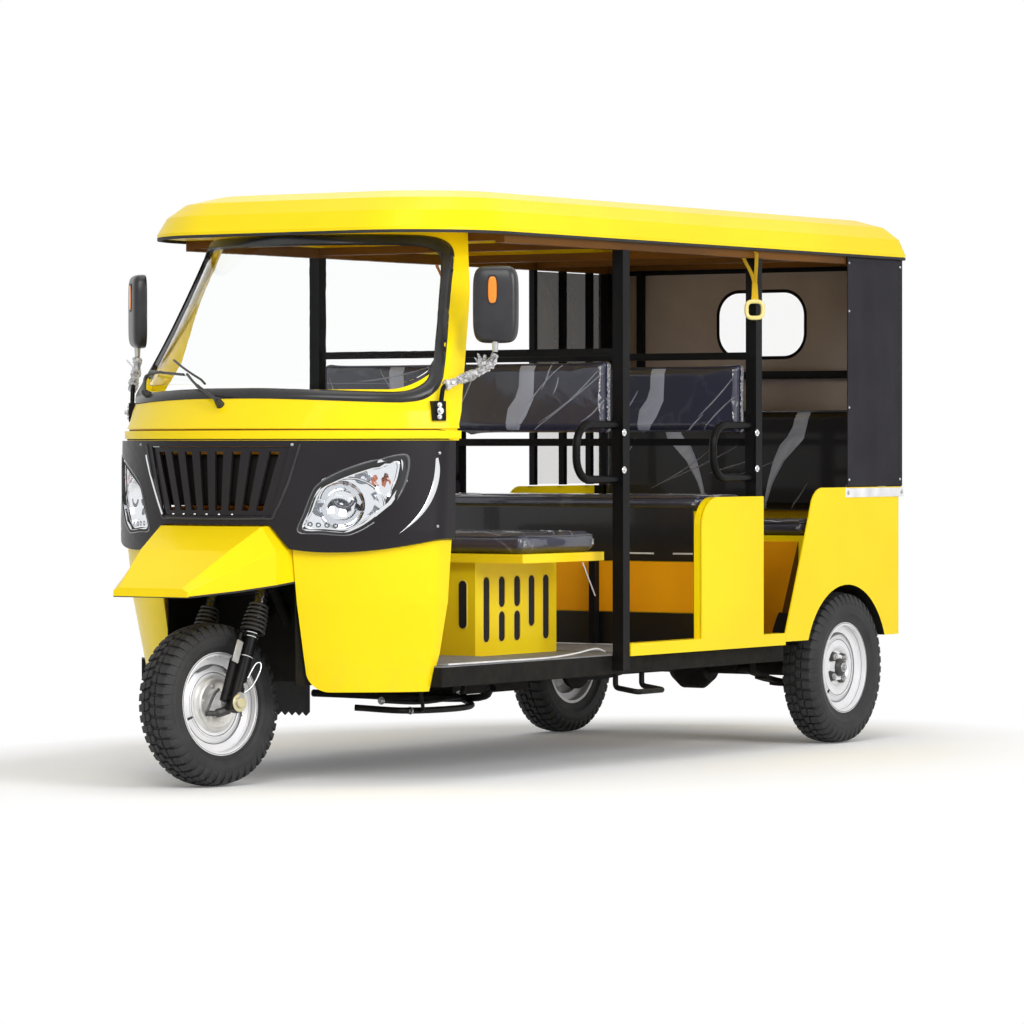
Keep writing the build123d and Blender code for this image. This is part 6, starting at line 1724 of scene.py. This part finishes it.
# painted shade and highlight: a dark plate for each slot's hole and a pale rim for its lit lip
painted_hole_shade = finish("painted_hole_shade", (0.004, 0.004, 0.004), 0.7)
painted_rim_highlight = finish("painted_rim_highlight", (0.95, 0.72, 0.16), 0.4)


def board(name, low, high, material, bevel=0.0015):
    bm = bmesh.new()
    low, high = Vector(low), Vector(high)
    slab(bm, (low + high) / 2, high - low)
    return settle(name, bm, material, bevel=bevel)


BENCH_RIGHT, BENCH_LEFT = -0.574, 0.553
board("bench_kick_board", (BENCH_RIGHT, 0.4195, 0.648), (BENCH_LEFT, 0.4235, 0.827), kick_black)
board("bench_panel", (BENCH_RIGHT, 0.4205, 0.478), (BENCH_LEFT, 0.424, 0.646), shade_orange)
board("bench_foot", (BENCH_RIGHT, 0.421, 0.364), (BENCH_LEFT, 0.4243, 0.476), kick_black)
for k, (first, last) in enumerate(((0.475, 0.552), (0.302, 0.4), (0.1, 0.2), (-0.1, 0.0))):
    board("kick_board_rail_%d" % k, (first, 0.4165, 0.671), (last, 0.4195, 0.6765), light_alloy,
          0.0006)
board("bench_strut", (0.159, 0.392, 0.372), (0.185, 0.418, 0.648), tube_black)
bm = bmesh.new()
tube(bm, [(0.14, 0.385, 0.64), (0.19, 0.385, 0.529)], 0.0022, 8)
settle("strut_wire", bm, light_alloy)
board("rear_bench_panel", (BENCH_RIGHT, 1.1105, 0.386), (BENCH_LEFT, 1.1145, 0.702), shade_orange)
# painted shade: a brown triangle on the rear bench's front paints the shade of a fold
bm = bmesh.new()
fold = [(0.556, 0.705), (0.556, 0.375), (0.47, 0.375)]
skin(bm, [ring_of(bm, [(x, y, z) for x, z in fold]) for y in (1.1085, 1.11)], caps=True)
bmesh.ops.recalc_face_normals(bm, faces=bm.faces)
settle("rear_bench_fold_shade", bm, painted_shade_brown, smooth=False)
print("bench fronts")

# %% Slots in the engine box
def stadium(half_wide, half_high, count=24):
    """A slot's outline, as (across, up) points."""
    points = []
    for i in range(count):
        angle = 2 * math.pi * (i + 0.5) / count
        straight = math.copysign(half_high - half_wide, math.sin(angle))
        points.append((half_wide * math.cos(angle), half_wide * math.sin(angle) + straight))
    return points


def slot_on(bm_dark, bm_rim, centre, across, out, half_wide, half_high):
    """A dark plate as painted shade for the hole and a pale rim as painted highlight round it, just
    proud of the box.
    """
    def place(u, v, lift):
        return centre + across * u + Vector((0, 0, v)) + out * lift

    rings = [ring_of(bm_dark, [place(u * k, v * k, 0.001)
                               for u, v in stadium(half_wide, half_high)]) for k in (1.0, 0.5)]
    skin(bm_dark, rings)
    bm_dark.faces.new(rings[-1])
    outline = stadium(half_wide + 0.0012, half_high + 0.0012)
    skin(bm_rim, [ring_of(bm_rim, [place(u + math.copysign(grow, u), v + math.copysign(grow, v),
                                         lift)
                                   for u, v in outline])
                  for grow, lift in ((0.0022, 0.0003), (0.001, 0.0022), (-0.0014, 0.0012))])


BOX_SIDE_SLOTS = [(-0.438, 0.51, 0.104), (-0.349, 0.454, 0.048), (-0.349, 0.565, 0.049),
                  (-0.26, 0.454, 0.048), (-0.26, 0.565, 0.049), (-0.175, 0.532, 0.082),
                  (-0.09, 0.51, 0.104)]
bm_dark, bm_rim = bmesh.new(), bmesh.new()
for side in (1, -1):
    for y, z, half_high in BOX_SIDE_SLOTS:
        slot_on(bm_dark, bm_rim, Vector((side * 0.3002, y, z)), Vector((0, side, 0)),
                Vector((side, 0, 0)), 0.0165, half_high)
for x in (0.252, -0.252):
    slot_on(bm_dark, bm_rim, Vector((x, -0.5002, 0.527)), Vector((1, 0, 0)),
            Vector((0, -1, 0)), 0.015, 0.076)
bmesh.ops.recalc_face_normals(bm_dark, faces=bm_dark.faces)
# the hole plates paint shade and the rims paint highlight
settle("engine_box_slots", bm_dark, painted_hole_shade)
settle("engine_box_slot_rims", bm_rim, painted_rim_highlight)
print("engine box slots")

# %% Mats, strip and bolts
board("driver_floor_mat", (-0.56, -1.08, 0.3625), (0.574, -0.545, 0.3665), mat_grey)
board("passenger_floor_mat", (-0.56, -0.01, 0.3625), (0.56, 0.405, 0.3665), mat_grey)
bm = bmesh.new()
tube(bm, smooth_path([(0.577, -1.06, 0.3665), (0.579, -0.8, 0.366), (0.58, -0.5, 0.366),
                      (0.579, -0.34, 0.374), (0.575, -0.22, 0.384), (0.566, -0.15, 0.372)], 6),
     0.0028, 8)
tube(bm, [(0.556, 0.005, 0.3675), (0.556, 0.4, 0.3675)], 0.0022, 8)
tube(bm, [(-0.55, 0.402, 0.3675), (0.552, 0.402, 0.3675)], 0.0022, 8)
settle("mat_edges", bm, light_alloy)
board("curtain_strip", (0.6252, 1.314, 0.852), (0.6285, 1.728, 0.884), light_alloy, 0.001)

bm = bmesh.new()
for y in (-0.1175, 0.7225):
    for side in (1, -1):
        for z in (0.955, 1.075):
            hexagon(bm, (side * 0.6195, y, z), (side, 0, 0), 0.0125, 0.006)
settle("hand_rail_bolts", bm, chrome, bevel=0.0005)
bm = bmesh.new()
for y, z in ((1.33, 0.868), (1.712, 0.868)):
    hexagon(bm, (0.6285, y, z), (1, 0, 0), 0.009, 0.004)
settle("strip_bolts", bm, steel, bevel=0.0004)
print("mats, strip and bolts")

# %% Pipes under the floor
PIPES = (  # radius, route
    (0.008, [(0.3, -1.02, 0.246), (0.3, -0.8, 0.232), (0.3, -0.56, 0.24)]),
    (0.01, [(0.22, -1.05, 0.224), (0.36, -0.95, 0.214), (0.36, -0.62, 0.212),
            (0.24, -0.52, 0.236)]),
    (0.006, [(0.4, -0.96, 0.3), (0.4, -0.94, 0.222), (0.36, -0.9, 0.212)]),
    (0.008, [(0.24, -0.48, 0.3), (0.24, -0.5, 0.24), (0.1, -0.5, 0.232)]),
    (0.012, [(0.42, -0.58, 0.27), (0.3, -0.55, 0.232), (-0.3, -0.55, 0.232)]),
)
bm = bmesh.new()
for radius, route in PIPES:
    tube(bm, smooth_path(route, 6), radius, 10)
settle("under_floor_pipes", bm, tube_black)
bm = bmesh.new()
for place in ((0.3, -1.02, 0.246), (0.36, -0.95, 0.214), (0.24, -0.5, 0.24)):
    hexagon(bm, place, (0, -1, 0), 0.013, 0.012)
settle("pipe_nuts", bm, steel)
print("pipes under the floor")

# %% [markdown]
# ## Curtains, film and straps
# The rear of the cab is closed with cloth: a brown-grey rear wall with a clear window sewn into
# it, a dark curtain studded to the frame on the left side, and a sheet of film on the right
# side. Each is one sheet that hangs a little slack between the bars that hold it, so it has
# faint folds, and its hems are flat bands on it. The flat sizes are what would be cut.

# %% Sheets hung on the frame
def hung_sheet(name, spot, cells, material):
    """A sheet from spot(across, down), both from nought to one."""
    columns, rows = cells
    bm = bmesh.new()
    skin(bm, [ring_of(bm, [spot(i / columns, j / rows) for i in range(columns + 1)])
              for j in range(rows + 1)], closed=False)
    return settle(name, bm, material)


def slack(across, down, seed):
    """Faint upright folds that fade at the edges, from -1 to 1."""
    edge = min(1.0, 6 * across, 6 * (1 - across), 5 * down, 5 * (1 - down))
    return edge * (0.6 * math.sin(9.0 * across + seed + 1.4 * down)
                   + 0.4 * math.sin(23.0 * across - 2.0 * down + 2 * seed))


def band_on(bm, spot, first, last, half, lift, normal, steps=40):
    """A flat hem band on a sheet along a straight (across, down) line."""
    run = Vector((last[0] - first[0], last[1] - first[1]))
    rows = []
    for i in range(steps + 1):
        across, down = first[0] + run.x * i / steps, first[1] + run.y * i / steps
        rows.append(ring_of(bm, [Vector(spot(across + half[0] * k, down + half[1] * k))
                                 + Vector(normal) * height
                                 for k, height in ((-1, 0.0002), (-0.85, lift), (0.85, lift),
                                                   (1, 0.0002))]))
    skin(bm, rows, closed=False)


WALL_HALF, WALL_LOW, WALL_HIGH, WALL_Y = 0.614, 0.889, 1.684, 1.7215
WINDOW_X, WINDOW_Z = 0.05, 1.4665
WINDOW_HALF_WIDE, WINDOW_HALF_HIGH, WINDOW_CORNER = 0.182, 0.1195, 0.088


def wall_spot(across, down):
    return (WALL_HALF * (1 - 2 * across), WALL_Y + 0.0022 * slack(across, down, 0.7),
            WALL_HIGH + (WALL_LOW - WALL_HIGH) * down)


def window_loop(grow, count=72):
    """The window's rounded outline, grown by so much, as (x, z) points."""
    points = []
    for corner, (sx, sz) in enumerate(((1, 1), (-1, 1), (-1, -1), (1, -1))):
        for i in range(count // 4):
            angle = math.radians(90 * corner + 90 * i / (count // 4 - 1))
            bend = WINDOW_CORNER + grow
            points.append((WINDOW_X + sx * (WINDOW_HALF_WIDE - WINDOW_CORNER)
                           + bend * math.cos(angle),
                           WINDOW_Z + sz * (WINDOW_HALF_HIGH - WINDOW_CORNER)
                           + bend * math.sin(angle)))
    return points


def wall_at(x, z, lift=0.0):
    """The place on the wall at (x, z), lifted off it."""
    across, down = (1 - x / WALL_HALF) / 2, (z - WALL_HIGH) / (WALL_LOW - WALL_HIGH)
    return Vector((x, wall_spot(across, down)[1] + lift, z))


def wall_round_window(columns=240, rows=26):
    """The wall as rings that open out from the window's edge to its own four edges."""
    inner = window_loop(-0.002, columns)
    outer = []
    for x, z in inner:
        dx, dz = x - WINDOW_X, z - WINDOW_Z
        wide = (math.copysign(WALL_HALF, dx) - WINDOW_X) / dx if abs(dx) > 1e-9 else 1e9
        high = ((WALL_HIGH if dz > 0 else WALL_LOW) - WINDOW_Z) / dz if abs(dz) > 1e-9 else 1e9
        reach = min(wide, high)
        outer.append((WINDOW_X + dx * reach, WINDOW_Z + dz * reach))
    for corner in [(x, z) for x in (WALL_HALF, -WALL_HALF) for z in (WALL_HIGH, WALL_LOW)]:
        nearest = min(range(columns), key=lambda i: math.dist(outer[i], corner))
        outer[nearest] = corner
    bm = bmesh.new()
    skin(bm, [ring_of(bm, [wall_at(ax + (bx - ax) * j / rows, az + (bz - az) * j / rows)
                           for (ax, az), (bx, bz) in zip(inner, outer)]) for j in range(rows + 1)])
    return settle("rear_wall_cloth", bm, rear_cloth)


print("rear wall planned")

# %% Rear wall, its window and hems
rear_wall = wall_round_window()
black_binding = woven("black_binding", (0.006, 0.005, 0.006), (0.012, 0.011, 0.012), 0.0016)
for side, way in (("front", -1), ("back", 1)):
    bm = bmesh.new()
    skin(bm, [ring_of(bm, [wall_at(x, z, way * lift) for x, z in window_loop(grow)])
              for grow, lift in ((0.006, 0.0003), (0.005, 0.0012), (-0.005, 0.0012),
                                 (-0.006, 0.0002))])
    face_out(bm, -way)
    settle("window_binding_" + side, bm, black_binding)
bm = bmesh.new()
band_on(bm, wall_spot, (0.004, 0.022), (0.996, 0.022), (0, 0.018), 0.0012, (0, -1, 0))
band_on(bm, wall_spot, (0.004, 0.985), (0.996, 0.985), (0, 0.012), 0.0012, (0, -1, 0))
settle("rear_wall_hems", bm, black_binding)
bm = bmesh.new()
rings = [ring_of(bm, [wall_at(x, z) for x, z in window_loop(grow)])
         for grow in (-0.003, -0.03, -0.06)]
skin(bm, rings)
bm.faces.new(rings[-1])
window_film = settle("rear_window_film", bm, clear_film)
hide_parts("rear_curtain")
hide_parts("rear_window")
print("rear wall hung")

# %% Side curtain
SIDE_X, SIDE_FRONT, SIDE_BACK, SIDE_LOW, SIDE_HIGH = 0.6222, 1.334, 1.7285, 0.889, 1.6845


def side_spot(across, down):
    return (SIDE_X + 0.0026 * slack(across, down, 2.1),
            SIDE_FRONT + (SIDE_BACK - SIDE_FRONT) * across,
            SIDE_HIGH + (SIDE_LOW - SIDE_HIGH) * down)


side_cloth = hung_sheet("side_curtain_cloth", side_spot, (50, 100), curtain_cloth)
bm = bmesh.new()
for first, last, half in (((0.03, 0.0), (0.03, 1.0), (0.026, 0)),
                          ((0.965, 0.0), (0.965, 1.0), (0.024, 0)),
                          ((0.06, 0.014), (0.94, 0.014), (0, 0.011)),
                          ((0.06, 0.984), (0.94, 0.984), (0, 0.012))):
    band_on(bm, side_spot, first, last, half, 0.0012, (1, 0, 0))
side_hems = settle("side_curtain_hems", bm, curtain_cloth)
bm = bmesh.new()
band_on(bm, side_spot, (0.0, 0.0), (0.0, 1.0), (0.006, 0), 0.0014, (1, 0, 0))
side_edge = settle("side_curtain_edge", bm, black_binding)
bm = bmesh.new()
for across, down in ((0.03, 0.025), (0.03, 0.235), (0.03, 0.655), (0.03, 0.97), (0.955, 0.03),
                     (0.955, 0.97)):
    cone(bm, Vector(side_spot(across, down)) + Vector((0.0022, 0, 0)),
         Matrix.Rotation(math.radians(90), 4, "Y"), 0.005, 0.0034, 0.0022, 16)
studs = settle("curtain_studs", bm, steel, bevel=0.0004)
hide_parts("side_curtain")
print("side curtain hung")

# %% Side film
BAR_ZONE = (1.262, 1.274)  # above it the film is bare, below it a dark bar shows through
film_sheet = finish("side_film_sheet", (0.8, 0.79, 0.78), 0.25, coat=0.7, alpha=0.42)
film_tree = film_sheet.node_tree
film_z = height_in_space(film_tree)
set_from(film_sheet, "Base Color",
         blend_colours(film_tree, spread(film_tree, film_z, *BAR_ZONE), (0.62, 0.61, 0.61),
                       (0.085, 0.075, 0.07)))
set_from(film_sheet, "Alpha", spread(film_tree, film_z, *BAR_ZONE, 0.42, 0.94))
raise_surface(film_sheet, crumpled(film_tree, 5), 0.35, 0.02)
FILM_X = -0.6115


def film_spot(across, down):
    return (FILM_X + 0.0022 * slack(across, down, 4.4), 1.206 + 0.478 * across,
            1.658 - 0.764 * down)


film_cloth = hung_sheet("side_film_sheet", film_spot, (50, 80), film_sheet)
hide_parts("side_film")
print("side film hung")

# %% [markdown]
# A hand strap hangs from the roof rail by each middle post: one length of webbing goes up,
# over the rail and down again, and is stitched together above a squarish plastic ring.

# %% Hand straps
STRAP_ROUTE = [(0.0, 0.03), (0.0, 0.055), (-0.002, 0.092), (-0.012, 0.124), (-0.03, 0.158),
               (-0.037, 0.178), (-0.032, 0.19), (-0.012, 0.1945), (0.004, 0.191), (0.006, 0.174),
               (0.005, 0.142), (0.003, 0.112), (0.002, 0.09), (0.001, 0.055), (0.001, 0.03)]
RING_HALF, RING_BAR = 0.0275, 0.0074
pale_plastic = finish("pale_ring_plastic", (0.86, 0.72, 0.26), 0.35, coat=0.3)


def squarish(a):
    """A place on a rounded square, at an angle."""
    return [RING_HALF * math.copysign(abs(k) ** 0.62, k) for k in (math.cos(a), math.sin(a))]


def strap(side, side_name, webbing):
    centre = Vector((side * 0.622, 0.703, 1.488))
    wide = Vector((side * 0.835, 0.55, 0)) if side > 0 else Vector((0.835, 0.55, 0))
    thick = wide.cross(Vector((0, 0, 1)))
    bm = bmesh.new()
    path = smooth_path([centre + wide * u + Vector((0, 0, v)) for u, v in STRAP_ROUTE], 5)
    rows = []
    for i, place in enumerate(path):
        share = i / (len(path) - 1)
        flare = 0.0058 + 0.0062 * max(0.0, 1 - 7 * min(share, 1 - share)) ** 0.6
        across = wide * flare + thick * (0.0105 - flare * 0.6)
        nudge = thick * (0.0012 if share > 0.5 else -0.0012)
        rows.append(ring_of(bm, [place + nudge + across, place + nudge, place + nudge - across]))
    skin(bm, rows, closed=False)
    piece = settle("strap_webbing_" + side_name, bm, webbing)
    bm = bmesh.new()
    rings = []
    for u, v in map(squarish, around(40)):
        spoke = wide * u + Vector((0, 0, v))
        out = spoke.normalized()
        rings.append(ring_of(bm, [centre + spoke
                                  + RING_BAR * (math.cos(b) * out + math.sin(b) * thick)
                                  for b in around(12)]))
    skin(bm, rings, closed_run=True)
    bmesh.ops.recalc_face_normals(bm, faces=bm.faces)
    ring = settle("strap_ring_" + side_name, bm, pale_plastic)
    return piece, ring


straps = [strap(1, "left", yellow_webbing), strap(-1, "right", orange_webbing)]
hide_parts("grab_straps")
for webbing, ring in straps:
    middles = [v.co for i, v in enumerate(webbing.data.vertices) if i % 3 == 1]
    length = sum((b - a).length for a, b in zip(middles, middles[1:]))
    print(webbing.name, "runs", round(length, 3), "m")
